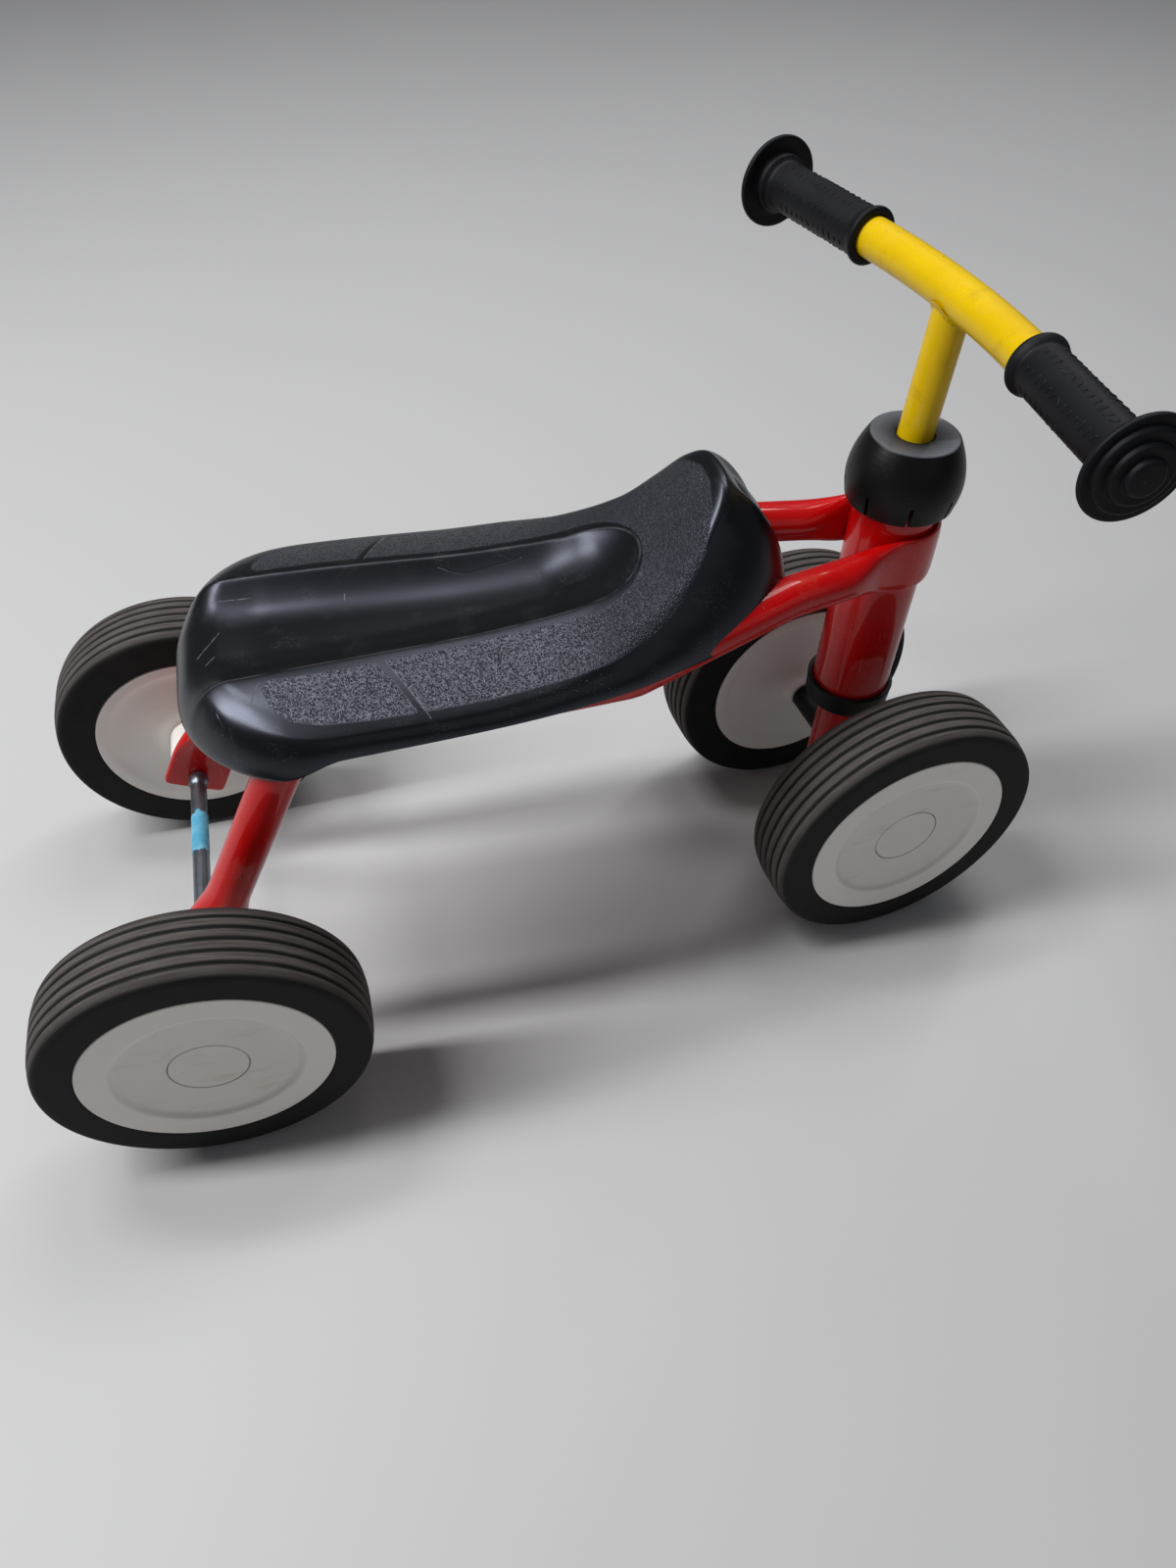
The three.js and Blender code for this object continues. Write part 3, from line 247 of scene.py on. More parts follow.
# %% Finish, a material with short names for its nodes
class Finish:
    """A material with one Principled shader."""

    def __init__(self, name, **constants):
        self.material = bpy.data.materials.new(name)
        self.material.use_nodes = True
        self.tree = self.material.node_tree
        self.shader = self.tree.nodes["Principled BSDF"]
        for socket, value in constants.items():
            self.put(socket.replace("_", " "), value)
        self.place = self.node("TexCoord", output="Object")

    def put(self, socket, value):
        self._feed(self.shader.inputs[socket], value)

    def _feed(self, socket, value):
        if isinstance(value, Signal):
            self.tree.links.new(value.socket, socket)
        else:
            socket.default_value = value

    def node(self, kind, inputs=None, output=0, **settings):
        made = self.tree.nodes.new("ShaderNode" + kind)
        for name, value in settings.items():
            setattr(made, name, value)
        for key, value in (inputs or {}).items():
            self._feed(made.inputs[key], value)
        return Signal(self, made.outputs[output])

    def vector(self, operation, first, second, output=0):
        return self.node("VectorMath", {0: first, 1: second}, output, operation=operation)

    def stretched(self, x, y, z, place=None):
        return self.vector("MULTIPLY", place or self.place, (x, y, z))

    def noise(self, scale, detail=3, roughness=0.5, place=None):
        inputs = {"Vector": place or self.place, "Scale": scale, "Detail": detail, "Roughness": roughness}
        return self.node("TexNoise", inputs)

    def cells(self, scale):
        return self.node("TexVoronoi", {"Vector": self.place, "Scale": scale}, "Distance")

    def axis(self, name):
        return self.node("SeparateXYZ", {0: self.place}, name)

    def attribute(self, name, output="Fac"):
        return self.node("Attribute", output=output, attribute_name=name)

    def step(self, value, low, high):
        """0 below low, 1 above high, and a smooth rise between. It falls where low is above high."""
        inputs = {"Value": value, "From Min": low, "From Max": high}
        return self.node("MapRange", inputs, interpolation_type="SMOOTHSTEP")

    def mix(self, share, first, second):
        """Blends two colours, each a (red, green, blue) or the output of a node."""
        first, second = ((*c, 1) if isinstance(c, tuple) else c for c in (first, second))
        return self.node("Mix", {0: share, 6: first, 7: second}, 2, data_type="RGBA")

    def layered(self, colour, *layers):
        """Lays (share, colour) layers over a colour, the last one on top."""
        for share, layer in layers:
            colour = self.mix(share, colour, layer)
        return colour

    def strokes(self, lines, half_width, wobble):
        """1 on scratches through rows of (x, y) points in millimetres, and 0 beside them."""
        flat = self.stretched(1, 1, 0)
        nearest = 1
        for start, end in (pair for points in lines for pair in zip(points, points[1:])):
            start, way = Vector((*start, 0)) * MM, Vector((end[0] - start[0], end[1] - start[1], 0)) * MM
            away = self.vector("SUBTRACT", flat, start)
            share = self.vector("DOT_PRODUCT", away, way / way.length_squared, "Value")
            share = self.node("Clamp", {0: share})
            foot = self.node("VectorMath", {0: way, 3: share}, operation="SCALE")
            nearest = self.vector("DISTANCE", away, foot, "Value").lowest(nearest)
        return self.step(nearest + wobble, half_width * MM, 0)

    def done(self, colour, roughness, height, depth_mm):
        """Wires the shader. In its bump, height 1 stands depth_mm above height 0."""
        bump = {"Height": height, "Distance": depth_mm * MM, "Strength": 1.0}
        self.put("Base Color", colour)
        self.put("Roughness", roughness)
        self.put("Normal", self.node("Bump", bump))
        return self.material


print("finishes ready")

# %% [markdown]
# ## Red and yellow enamel
# The frame is powder-coated: a thick, glossy skin with a faint orange-peel ripple, hair-fine scratches and
# a little dust. A clear coat gives the sharp reflections, and the ripple is a very shallow bump. The
# yellow bar carries more wear: small chips down to a dark base, and patches of grime.

# %% Enamel
def speckled(finish, scale, amount):
    """Small scattered specks: 1 on a speck and 0 beside it."""
    near = finish.step(finish.cells(scale), 0.16, 0.1)
    return near * finish.step(finish.noise(scale / 14, 2), 0.72 - amount, 0.78 - amount)


def hairlines(finish, way, amount):
    """Long thin scratches, drawn by a noise that is stretched along one way."""
    line = abs(finish.noise(1, 2, 0.4, finish.stretched(*way)) - 0.5)
    fades = finish.step(finish.noise(60, 1), 0.66 - amount, 0.72 - amount)
    return finish.step(line, 0.006, 0.001) * fades


def enamel(name, colour, deep, chip_amount, dirt, coat):
    finish = Finish(name, Coat_Roughness=0.05, Specular_IOR_Level=0.15)
    cloud = finish.noise(18, 4, 0.6)
    chips = finish.step(finish.noise(260, 3, 0.7), 0.775 - chip_amount, 0.79 - chip_amount)
    chips = chips * finish.step(finish.noise(24, 2), 0.5, 0.62)
    grime = finish.step(finish.noise(75, 5, 0.7), 0.52, 0.78) * dirt
    paint = finish.layered(
        finish.mix(finish.step(cloud, 0.3, 0.75), colour, deep),
        (grime, (0.09, 0.055, 0.02)),
        (hairlines(finish, (900, 900, 14), 0.1) * 0.25, (0.75, 0.7, 0.66)),
        (speckled(finish, 620, 0.12) * 0.35, (0.6, 0.55, 0.5)),
        (chips, (0.02, 0.017, 0.014)),
    )
    finish.put("Coat Weight", coat - chips * coat - grime * 0.15)
    roughness = 0.3 + cloud * 0.12 + grime * 0.4 + chips * 0.3
    return finish.done(paint, roughness, finish.noise(420, 1) * 0.06 - chips, 0.09)


RED = enamel("red_enamel", (0.54, 0.0003, 0.0008), (0.46, 0.0002, 0.0006), -0.06, 0.03, 0.55)
YELLOW = enamel("yellow_enamel", (0.72, 0.475, 0.0004), (0.66, 0.42, 0.0004), 0.06, 0.25, 0.15)
print("enamels:", RED.name, YELLOW.name)

# %% [markdown]
# ## Moulded black plastic
# The saddle comes out of its mould with two textures. The sitting panels have a coarse grain, and
# everything else is satin smooth. Painted glints light the grain's tops, brightest on the near rear panel.
# A grain is far too fine for geometry, so it is a bump, laid only where the mesh says so: each corner of
# the saddle's mesh stores its distance from the panel's border and from the trough's edge. The few long
# scratches lie where a shoe or a toy left them.

# %% Scratches on the saddle
CRACK = [(153.3, 27.5), (160, 23.6), (166.9, 21.7), (176, 22.3), (183.9, 22.7), (194.3, 23.4)]
CRACK_BRANCH = [(185.6, 27.2), (188.2, 24.6), (191.5, 24)]
LONG_SCRATCH = [(33.9, -8), (40.4, 0.6), (44.7, 8)]
SCRATCHES = [
    [(37.5, -14.9), (41.9, -9.3)],
    [(42.3, 27.5), (61.4, 27.3)],
    [(57.1, -52.3), (61.6, -41.1)],
    [(105.5, 22), (104.9, 18.6)],
    [(41.5, -49.1), (45.7, -61.4)],
]
PANEL_JOINTS = [[(117.8, side * 39), (132.9, side * 71)] for side in (-1, 1)]
print(len(SCRATCHES) + 1, "scratches and a crack")


# %% Saddle plastic
def saddle_plastic():
    finish = Finish("saddle_plastic", Specular_IOR_Level=0.5, Specular_Tint=(0.74, 0.8, 1, 1))
    grain_area = finish.step(finish.attribute("panel_distance"), -0.5, 0.9)
    top_side = finish.attribute("top_side")
    worms = abs(finish.noise(760, 2, 0.5) - 0.5)
    tops = finish.step(worms, 0.1, 0.02)
    fine, leather = finish.noise(1500, 2), finish.noise(520, 3, 0.6)
    wobble = (finish.noise(300, 2) - 0.5) * 0.0008
    crack = finish.strokes([CRACK], 0.5, wobble).highest(finish.strokes([CRACK_BRANCH], 0.35, wobble))
    scratch = finish.strokes([LONG_SCRATCH], 0.35, wobble).highest(finish.strokes(SCRATCHES, 0.3, wobble))
    crack, scratch = crack * top_side, scratch * top_side
    joints = finish.strokes(PANEL_JOINTS, 0.35, wobble) * top_side
    scuffs = hairlines(finish, (160, 1100, 300), 0.1).highest(hairlines(finish, (1000, 130, 300), 0.08))
    # A light line along the trough's edge: partly wear, partly a painted highlight on the edge.
    edge = abs(finish.attribute("trough_distance") + 0.2)
    edge_wear_and_highlight = finish.step(edge, 0.75, 0.1) * finish.step(finish.noise(70, 3), 0.3, 0.6)
    marks_and_edge_highlight = (scuffs * 0.5).highest(scratch * 0.9).highest(edge_wear_and_highlight * 0.4).highest(joints * 0.9)
    tone = finish.step(finish.noise(9, 2), 0.3, 0.7)
    # In metres, the painted glints are brighter behind x = 0.2, and brightest on the side where y is below 0.
    glint_rear = finish.step(finish.axis("X"), 0.235, 0.185)
    glint_near_side = finish.step(finish.axis("Y"), 0.02, -0.02)
    grain_glints = tops * (0.12 + glint_rear * (0.18 + glint_near_side * 0.7)) * (0.4 + fine * 0.8)
    black = finish.layered(
        finish.mix(tone, (0.003, 0.0031, 0.0035), (0.0042, 0.0044, 0.005)),
        # The pale bluish tops of the grain are painted glints.
        (grain_area, finish.mix(grain_glints, (0.004, 0.0043, 0.005), (0.14, 0.148, 0.178))),
        # This pale layer holds scuffs, scratches and panel joints, and the painted edge highlight.
        (marks_and_edge_highlight * 0.34, (0.3, 0.3, 0.31)),
        (crack, (0.001, 0.001, 0.001)),
        (speckled(finish, 420, 0.08) * 0.3, (0.3, 0.29, 0.27)),
    )
    roughness = 0.27 + tone * 0.02 + marks_and_edge_highlight * 0.15 + grain_area * (0.2 - tops * 0.2)
    grain = grain_area * (worms * -2.8 + fine * 0.3) + (1 - grain_area) * leather * 0.03
    return finish.done(black, roughness, grain - scratch * 0.08 - crack * 0.4, 0.5)


SADDLE = saddle_plastic()
print("saddle:", SADDLE.name)


# %% Plain matt black
def matt_black(name, colour, roughness, grain_mm, wear, dust_and_sheen=0):
    """Where the last value is above zero, the mesh says how much dust and painted sheen each corner gets."""
    finish = Finish(name, Specular_IOR_Level=0.2)
    cloud = finish.noise(30, 5, 0.6)
    light = tuple(value * 1.8 + 0.001 for value in colour)
    layers = [
        (finish.step(cloud, 0.35, 0.8) * wear, light),
        (hairlines(finish, (700, 700, 40), 0.06) * 0.3, (0.2, 0.2, 0.2)),
        (speckled(finish, 520, 0.12) * 0.3, (0.3, 0.28, 0.25)),
    ]
    if dust_and_sheen:
        # Dust and a painted sheen make the flat top pale and bluish.
        layers.insert(2, (finish.attribute("dust_and_sheen") * (0.75 + cloud * 0.5) * dust_and_sheen, (0.22, 0.23, 0.265)))
    black = finish.layered(colour, *layers)
    return finish.done(black, roughness - 0.06 + cloud * 0.14, finish.noise(1300, 2), grain_mm)


MATT = matt_black("matt_black_plastic", (0.0025, 0.0025, 0.0028), 0.5, 0.05, 0.6)
CAP_BLACK = matt_black("cap_black_plastic", (0.0036, 0.0036, 0.004), 0.38, 0.04, 0.5, 0.5)
SPACER_BLACK = matt_black("bearing_black_plastic", (0.0045, 0.0045, 0.005), 0.42, 0.02, 0.5)
print("plastics:", MATT.name, CAP_BLACK.name, SPACER_BLACK.name)

# %% [markdown]
# ## Rubber
# Grip rubber is black with dry pale crumbs in its marks. Tyre rubber has two looks: the side walls stay
# black and matt, while the ribs of the tread have been rubbed brown-grey by floors. The tread's mesh stores
# how high each corner stands, so the shader can wear the ribs and leave the grooves dark.

# %% Grip rubber and tyre rubber
def grip_rubber():
    finish = Finish("grip_black", Specular_IOR_Level=0.17)
    cloud = finish.noise(42, 4, 0.6)
    crumbs = finish.step(finish.noise(420, 3, 0.75), 0.69, 0.73) * finish.step(finish.noise(38, 2), 0.5, 0.64)
    black = finish.mix(finish.step(cloud, 0.3, 0.75), (0.0036, 0.0039, 0.0048), (0.0068, 0.0073, 0.0092))
    black = finish.mix(crumbs * 0.5, black, (0.3, 0.27, 0.21))
    return finish.done(black, 0.46 + cloud * 0.14, finish.noise(900, 3), 0.05)


def tyre_rubber():
    finish = Finish("ribbed_tread", Specular_IOR_Level=0.2)
    rib, shoulder = finish.attribute("rib"), finish.attribute("shoulder")
    place = finish.attribute("rest_place", "Vector")
    patches, crumbs = finish.noise(26, 4, 0.6, place), finish.noise(650, 3, 0.7, place)
    streaks = finish.noise(1, 4, 0.6, finish.stretched(45, 45, 950))
    bright = finish.step(streaks * 0.75 + patches * 0.25, 0.32, 0.66)
    tread = finish.mix(bright, (0.044, 0.038, 0.036), (0.1, 0.088, 0.084))
    tread = finish.mix(shoulder * 0.6, tread, (0.03, 0.027, 0.026))
    side = finish.mix(finish.step(patches, 0.45, 0.75), (0.0085, 0.0082, 0.008), (0.015, 0.0144, 0.0138))
    lint = finish.step(crumbs, 0.7, 0.74) * finish.step(patches, 0.5, 0.64)
    rubber = finish.mix(lint * 0.35, finish.mix(rib, side, tread), (0.22, 0.2, 0.17))
    return finish.done(rubber, 0.62 + patches * 0.18 + rib * 0.06, crumbs * 0.4 + streaks * 0.6 * rib, 0.1)


GRIP = grip_rubber()
TYRE = tyre_rubber()
print("rubbers:", GRIP.name, TYRE.name)

# %% [markdown]
# ## White plastic and bright steel
# The rims are off-white plastic. Grime gathers in the dished middle and leaves brown smears, and a few dark
# nicks stand out. The axle is galvanised: bright, a little uneven, with dull spots. A strip of light-blue
# tape is wrapped round it.

# %% White plastic
def white_plastic():
    finish = Finish("moulded_white", Specular_IOR_Level=0.4)
    place = finish.attribute("rest_place", "Vector")
    soil, hub_groove_shade = finish.attribute("soil"), finish.attribute("hub_groove_shade")
    cloud = finish.noise(22, 5, 0.6, place)
    nicks = finish.step(finish.noise(190, 4, 0.8, place), 0.7, 0.74) * finish.step(cloud, 0.48, 0.6)
    smear = finish.noise(1, 4, 0.6, finish.stretched(28, 62, 90, place))
    brown = finish.step(smear, 0.54, 0.84) * soil
    white = finish.layered(
        (0.86, 0.835, 0.79),
        (soil * (0.3 + cloud * 0.8), (0.77, 0.73, 0.67)),
        (brown * 0.55, (0.55, 0.43, 0.29)),
        (nicks * soil * 0.7, (0.07, 0.06, 0.05)),
        # Painted shade darkens the narrow groove round the hub cap.
        (hub_groove_shade * 0.4, (0.1, 0.09, 0.08)),
    )
    fine = finish.noise(700, 2, 0.5, place)
    return finish.done(white, 0.38 + cloud * 0.14 + brown * 0.2, fine - nicks, 0.025)


WHITE = white_plastic()
print("white:", WHITE.name)


# %% Steel and tape
def steel(name, colour, roughness):
    finish = Finish(name)
    cloud = finish.noise(90, 5, 0.65)
    streaks = finish.noise(1, 3, 0.6, finish.stretched(1500, 30, 1500))
    dull = finish.step(finish.noise(210, 4, 0.7), 0.58, 0.72)
    metal = finish.layered(
        colour,
        (finish.step(cloud, 0.35, 0.75) * 0.6, tuple(value * 0.45 for value in colour)),
        (dull * 0.6, (0.13, 0.12, 0.105)),
    )
    finish.put("Metallic", 0.95 - dull * 0.5)
    return finish.done(metal, roughness - 0.08 + streaks * 0.16 + dull * 0.25, streaks * 0.5 + cloud, 0.04)


def blue_tape():
    finish = Finish("blue_tape", Specular_IOR_Level=0.4)
    crepe = finish.noise(1, 3, 0.6, finish.stretched(420, 70, 420))
    faded = finish.step(finish.noise(120, 4, 0.6), 0.4, 0.7)
    blue = finish.mix(faded, (0.075, 0.34, 0.52), (0.2, 0.5, 0.64))
    return finish.done(blue, 0.42 + crepe * 0.2, crepe, 0.12)


ZINC = steel("galvanised", (0.62, 0.64, 0.67), 0.3)
STEEL = steel("dull_steel", (0.22, 0.25, 0.28), 0.34)
TAPE = blue_tape()
print("metals and tape:", ZINC.name, STEEL.name, TAPE.name)

# %% [markdown]
# ## From points to pieces
# Three builders make nearly everything here. `piece` turns points and faces into an object, `turned` spins a
# profile round an axis, like a lathe, and `lofted_mesh` skins a row of rings. Edges sharper than a given
# angle stay crisp and all others are shaded smooth. A corner of a profile is rounded first, because no real
# edge is perfectly sharp and the rounding is what catches the light.

# %% Pieces
SHARP = 38


def soften(thing, sharp_above=SHARP):
    limit = math.radians(sharp_above)
    bm = bmesh.new()
    bm.from_mesh(thing.data)
    bmesh.ops.remove_doubles(bm, verts=bm.verts, dist=1e-6)
    bmesh.ops.dissolve_degenerate(bm, edges=bm.edges, dist=1e-7)
    bmesh.ops.recalc_face_normals(bm, faces=bm.faces)
    for face in bm.faces:
        face.smooth = True
    for edge in bm.edges:
        edge.smooth = edge.calc_face_angle(0) < limit
    bm.to_mesh(thing.data)
    bm.free()


def piece(name, points, faces, finish, place=VEHICLE, sharp_above=SHARP):
    mesh = bpy.data.meshes.new(name)
    mesh.from_pydata([tuple(float(c) * MM for c in point) for point in points], [], faces)
    thing = bpy.data.objects.new(name, mesh)
    bpy.context.scene.collection.objects.link(thing)
    thing.matrix_world = place
    soften(thing, sharp_above)
    mesh.materials.append(finish)
    return thing


print("pieces ready")


# %% Profiles with rounded corners
def rounded(profile, radius, steps=3, closed=True):
    """Replaces each corner of a profile by a short curve. A third value is that corner's own radius."""
    made = []
    count = len(profile)
    for i, corner in enumerate(profile):
        here = np.array(corner[:2], float)
        own = corner[2] if len(corner) > 2 else radius
        if own == 0 or (not closed and i in (0, count - 1)):
            made.append(tuple(here))
            continue
        before = np.array(profile[i - 1][:2], float) - here
        after = np.array(profile[(i + 1) % count][:2], float) - here
        back, ahead = np.linalg.norm(before), np.linalg.norm(after)
        start = here + before / back * min(own, back * 0.45)
        end = here + after / ahead * min(own, ahead * 0.45)
        for k in range(steps + 1):
            t = k / steps
            made.append(tuple(start * (1 - t) ** 2 + here * 2 * t * (1 - t) + end * t * t))
    return supported(made, closed)


def supported(profile, closed):
    """Adds a point near each end of a long straight stretch, which keeps its shading flat."""
    made = []
    count = len(profile)
    for i, here in enumerate(profile):
        made.append(here)
        after = np.array(profile[(i + 1) % count]) - here
        length = np.linalg.norm(after)
        if length > 2.4 and (closed or i < count - 1):
            made += [tuple(here + after * 0.4 / length), tuple(here + after * (1 - 0.4 / length))]
    return made


print("profiles ready")


# %% Turned, lofted and tubular meshes
def turned(name, profile, facets, finish, place, sharp_above=SHARP):
    """Spins a profile of (radius, height) pairs about Z."""
    points, rings = [], []
    for radius, height in profile:
        if radius == 0:
            rings.append([len(points)] * facets)
            points.append((0, 0, height))
            continue
        rings.append(list(range(len(points), len(points) + facets)))
        for k in range(facets):
            angle = 2 * math.pi * k / facets
            points.append((radius * math.cos(angle), radius * math.sin(angle), height))
    if profile[0][0] or profile[-1][0]:
        rings.append(rings[0])
    faces = []
    for low, high in zip(rings, rings[1:]):
        for k in range(facets):
            n = (k + 1) % facets
            corners = dict.fromkeys((low[k], low[n], high[n], high[k]))
            if len(corners) > 2:
                faces.append(list(corners))
    return piece(name, points, faces, finish, place, sharp_above)


def lofted_mesh(rings, close_start=True, close_end=True):
    count = len(rings[0])
    points = [point for ring in rings for point in ring]
    faces = []
    for r in range(len(rings) - 1):
        for i in range(count):
            a, b = r * count + i, r * count + (i + 1) % count
            faces.append((a, b, b + count, a + count))
    if close_start:
        faces.append(list(range(count))[::-1])
    if close_end:
        last = (len(rings) - 1) * count
        faces.append(list(range(last, last + count)))
    return points, faces


def tube_along(line, radius, facets):
    """Rings of a round tube along a row of points."""
    line = np.array(line, float)
    tangent = np.gradient(line, axis=0)
    tangent /= np.linalg.norm(tangent, axis=1)[:, None]
    side = np.cross(tangent[0], (0, 0, 1) if abs(tangent[0][2]) < 0.9 else (1, 0, 0))
    rings = []
    for spot, way in zip(line, tangent):
        side = side - way * side.dot(way)
        side /= np.linalg.norm(side)
        other = np.cross(way, side)
        angles = 2 * np.pi * np.arange(facets) / facets
        rings.append([spot + radius * (math.cos(a) * side + math.sin(a) * other) for a in angles])
    return rings


print("builders ready")


# %% Values that a shader reads from the mesh
def store(thing, name, values, kind="FLOAT"):
    layer = thing.data.attributes.new(name, kind, "POINT")
    field = "vector" if kind == "FLOAT_VECTOR" else "value"
    layer.data.foreach_set(field, np.ravel(values).astype(np.float32))


def corners_of(thing):
    flat = np.zeros(len(thing.data.vertices) * 3, np.float32)
    thing.data.vertices.foreach_get("co", flat)
    return flat.reshape(-1, 3) / MM


def reach_and_height(thing):
    """How far each corner of a turned piece stands from its axis, and how high."""
    x, y, height = corners_of(thing).T
    return np.hypot(x, y), height


def corners_in_world(thing):
    return np.array([thing.matrix_world @ v.co for v in thing.data.vertices])


def store_rest_place(thing):
    """Where each corner stands at rest, so that no two wheels wear the same spots."""
    store(thing, "rest_place", corners_in_world(thing), "FLOAT_VECTOR")


print("mesh values ready")

# %% How a piece joins the vehicle
def belongs(thing, body, *nodes):
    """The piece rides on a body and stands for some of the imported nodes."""
    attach(thing, body)
    if nodes:
        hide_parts(*nodes)
        bpy.context.view_layer.update()
        world = corners_in_world(thing)
        boxes = np.array([[*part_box(node)] for node in nodes])
        low_off = np.abs(world.min(0) - boxes[:, 0].min(0)).max()
        high_off = np.abs(world.max(0) - boxes[:, 1].max(0)).max()
        off = max(low_off, high_off)
        print(f"{thing.name}: {len(world)} corners, {off / MM:.2f} mm from the packed size")


def lathe(name, profile, rounding, facets, finish, place, body, node, closed=True, sharp_above=SHARP):
    """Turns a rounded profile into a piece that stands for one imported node."""
    thing = turned(name, rounded(profile, rounding, closed=closed), facets, finish, place, sharp_above)
    belongs(thing, body, node)
    return thing


def pipe(bore, outer, start, end):
    """The profile of a plain sleeve, or of a plain rod where the bore is 0."""
    return [(bore, start), (outer, start), (outer, end), (bore, end)]


def axle_place(base, side, across=0):
    return base @ shift(0, across, WHEEL_RADIUS) @ along_axle(side)


def carve(thing, operation, cutter):
    """Subtracts or intersects another piece and removes it."""
    tool = thing.modifiers.new("carve", "BOOLEAN")
    tool.operation = operation
    tool.solver = "EXACT"
    tool.object = cutter
    bpy.context.view_layer.update()
    carved = bpy.data.meshes.new_from_object(thing.evaluated_get(bpy.context.evaluated_depsgraph_get()))
    thing.modifiers.clear()
    thing.data = carved
    bpy.data.objects.remove(cutter)


print("joining and carving ready")

# %% The floor
FLOOR_REACH = 9000
FLOOR_LEVEL = -0.25
floor_corners = (-1, -1), (1, -1), (1, 1), (-1, 1)
floor_points = [(x * FLOOR_REACH, y * FLOOR_REACH, FLOOR_LEVEL) for x, y in floor_corners]
floor_finish = Finish("pale_floor", Roughness=0.55)
floor_tone = floor_finish.noise(1.5, 3)
floor_finish.put("Base Color", floor_finish.mix(floor_tone, (0.48, 0.48, 0.485), (0.52, 0.52, 0.52)))
floor = piece("floor", floor_points, [(0, 1, 2, 3)], floor_finish.material, Matrix.Identity(4))
print("floor laid")

# %% [markdown]
# ## The frame tube
# One steel tube makes the whole frame: up from a flattened foot, over two bends, along the side of the
# seat, pressed flat again round the head tube, and back on the other side. It is made as the tube mill
# does it: a centre line with round bends first, and then a section that is carried along and pressed.

# %% The tube's centre line
LEG_TOP = (69, 62, 213)
RAIL_MIDDLE = (232, 52.5, 209)
RAILS = [LEG_TOP, RAIL_MIDDLE, (NOSE_CENTRE - 67, 32.5, 224.5), (NOSE_CENTRE - 19, 23.4, RAIL_HEIGHT)]
FOOT_BELOW_AXLE = 10
FOOT_LENGTH = 22
FOOT_TAPER = 40
NOSE_TAPER = 40


def on_leg(up):
    way = np.array([LEG_TOP[0], 0, LEG_TOP[2] - WHEEL_RADIUS], float)
    return np.array([0, FOOT_SPREAD, WHEEL_RADIUS]) + way / np.linalg.norm(way) * up


def bezier(a, b, c, d, steps):
    """Points of a cubic curve, all but the first."""
    t = np.linspace(0, 1, steps + 1)[1:, None]
    a, b, c, d = (np.array(point, float) for point in (a, b, c, d))
    return a * (1 - t) ** 3 + 3 * b * t * (1 - t) ** 2 + 3 * c * t * t * (1 - t) + d * t ** 3


def bent_line(corners, radius, steps=24):
    """Straight stretches with a round bend at each inner corner."""
    corners = [np.array(corner, float) for corner in corners]
    line = [corners[0]]
    for before, corner, after in zip(corners, corners[1:], corners[2:]):
        back, ahead = before - corner, after - corner
        lengths = np.linalg.norm(back), np.linalg.norm(ahead)
        back, ahead = back / lengths[0], ahead / lengths[1]
        turn = math.pi - math.acos(np.clip(back.dot(ahead), -1, 1))
        reach = min(radius * math.tan(turn / 2), lengths[0] * 0.49, lengths[1] * 0.49)
        handle = reach * (1 - (4 / 3) * math.tan(turn / 4) / math.tan(turn / 2))
        ends = corner + back * reach, corner + back * handle, corner + ahead * handle, corner + ahead * reach
        line += [ends[0], *bezier(*ends, steps)]
    line.append(corners[-1])
    return np.array(line)


def run_of(line):
    """How far along a line each of its points lies."""
    return np.concatenate(([0], np.cumsum(np.linalg.norm(np.diff(line, axis=0), axis=1))))


def points_along(line, distances):
    run = run_of(line)
    return np.stack([np.interp(distances, run, axis) for axis in line.T], 1)


leg_bend = on_leg(FOOT_LENGTH + FOOT_TAPER / 2)
left_corners = [on_leg(-FOOT_BELOW_AXLE), leg_bend, *RAILS, (NOSE_CENTRE, NOSE_RADIUS, RAIL_HEIGHT)]
left_line = bent_line(left_corners, BEND_RADIUS)
tube_length = run_of(left_line)[-1]
print("one side of the tube is", round(tube_length), "mm long")


# %% Its section, round or pressed flat
FOOT_HALF_WIDTH = 17.3
FOOT_HALF_THICKNESS = 2.5
FOOT_CORNER = 3
FOOT_EDGE = 0.9


def smooth(value, low, high):
    t = np.clip((value - low) / (high - low), 0, 1)
    return t * t * (3 - 2 * t)


def corner_cut(distance, radius):
    """How much a rounded corner takes off, at a distance from the end."""
    inside = np.clip(radius - distance, 0, radius)
    return radius - math.sqrt(max(radius ** 2 - inside ** 2, 0))


def tube_section(point, tangent, from_foot, from_nose, facets=44):
    foot = 1 - smooth(from_foot, FOOT_LENGTH, FOOT_LENGTH + FOOT_TAPER)
    nose = 1 - smooth(from_nose, 0, NOSE_TAPER)
    thick = TUBE_RADIUS + (FOOT_HALF_THICKNESS - TUBE_RADIUS) * foot
    thick = thick + (NOSE_HALF_THICKNESS - TUBE_RADIUS) * nose
    tall = TUBE_RADIUS + (FOOT_HALF_WIDTH - TUBE_RADIUS) * foot + (NOSE_HALF_HEIGHT - TUBE_RADIUS) * nose
    thick -= corner_cut(from_foot, FOOT_EDGE)
    tall -= corner_cut(from_foot, FOOT_CORNER)
    square = 1 - 0.72 * foot - 0.4 * nose
    across = np.cross((0, 0, 1), tangent)
    across /= np.linalg.norm(across)
    up = np.cross(tangent, across)
    ring = []
    for k in range(facets):
        c, s = math.cos(2 * math.pi * k / facets), math.sin(2 * math.pi * k / facets)
        wide = thick * math.copysign(abs(c) ** square, c)
        high = tall * math.copysign(abs(s) ** square, s)
        ring.append(point + across * wide + up * high)
    return ring


print("feet", 2 * FOOT_HALF_WIDTH, "mm wide and", 2 * FOOT_HALF_THICKNESS, "mm thick")

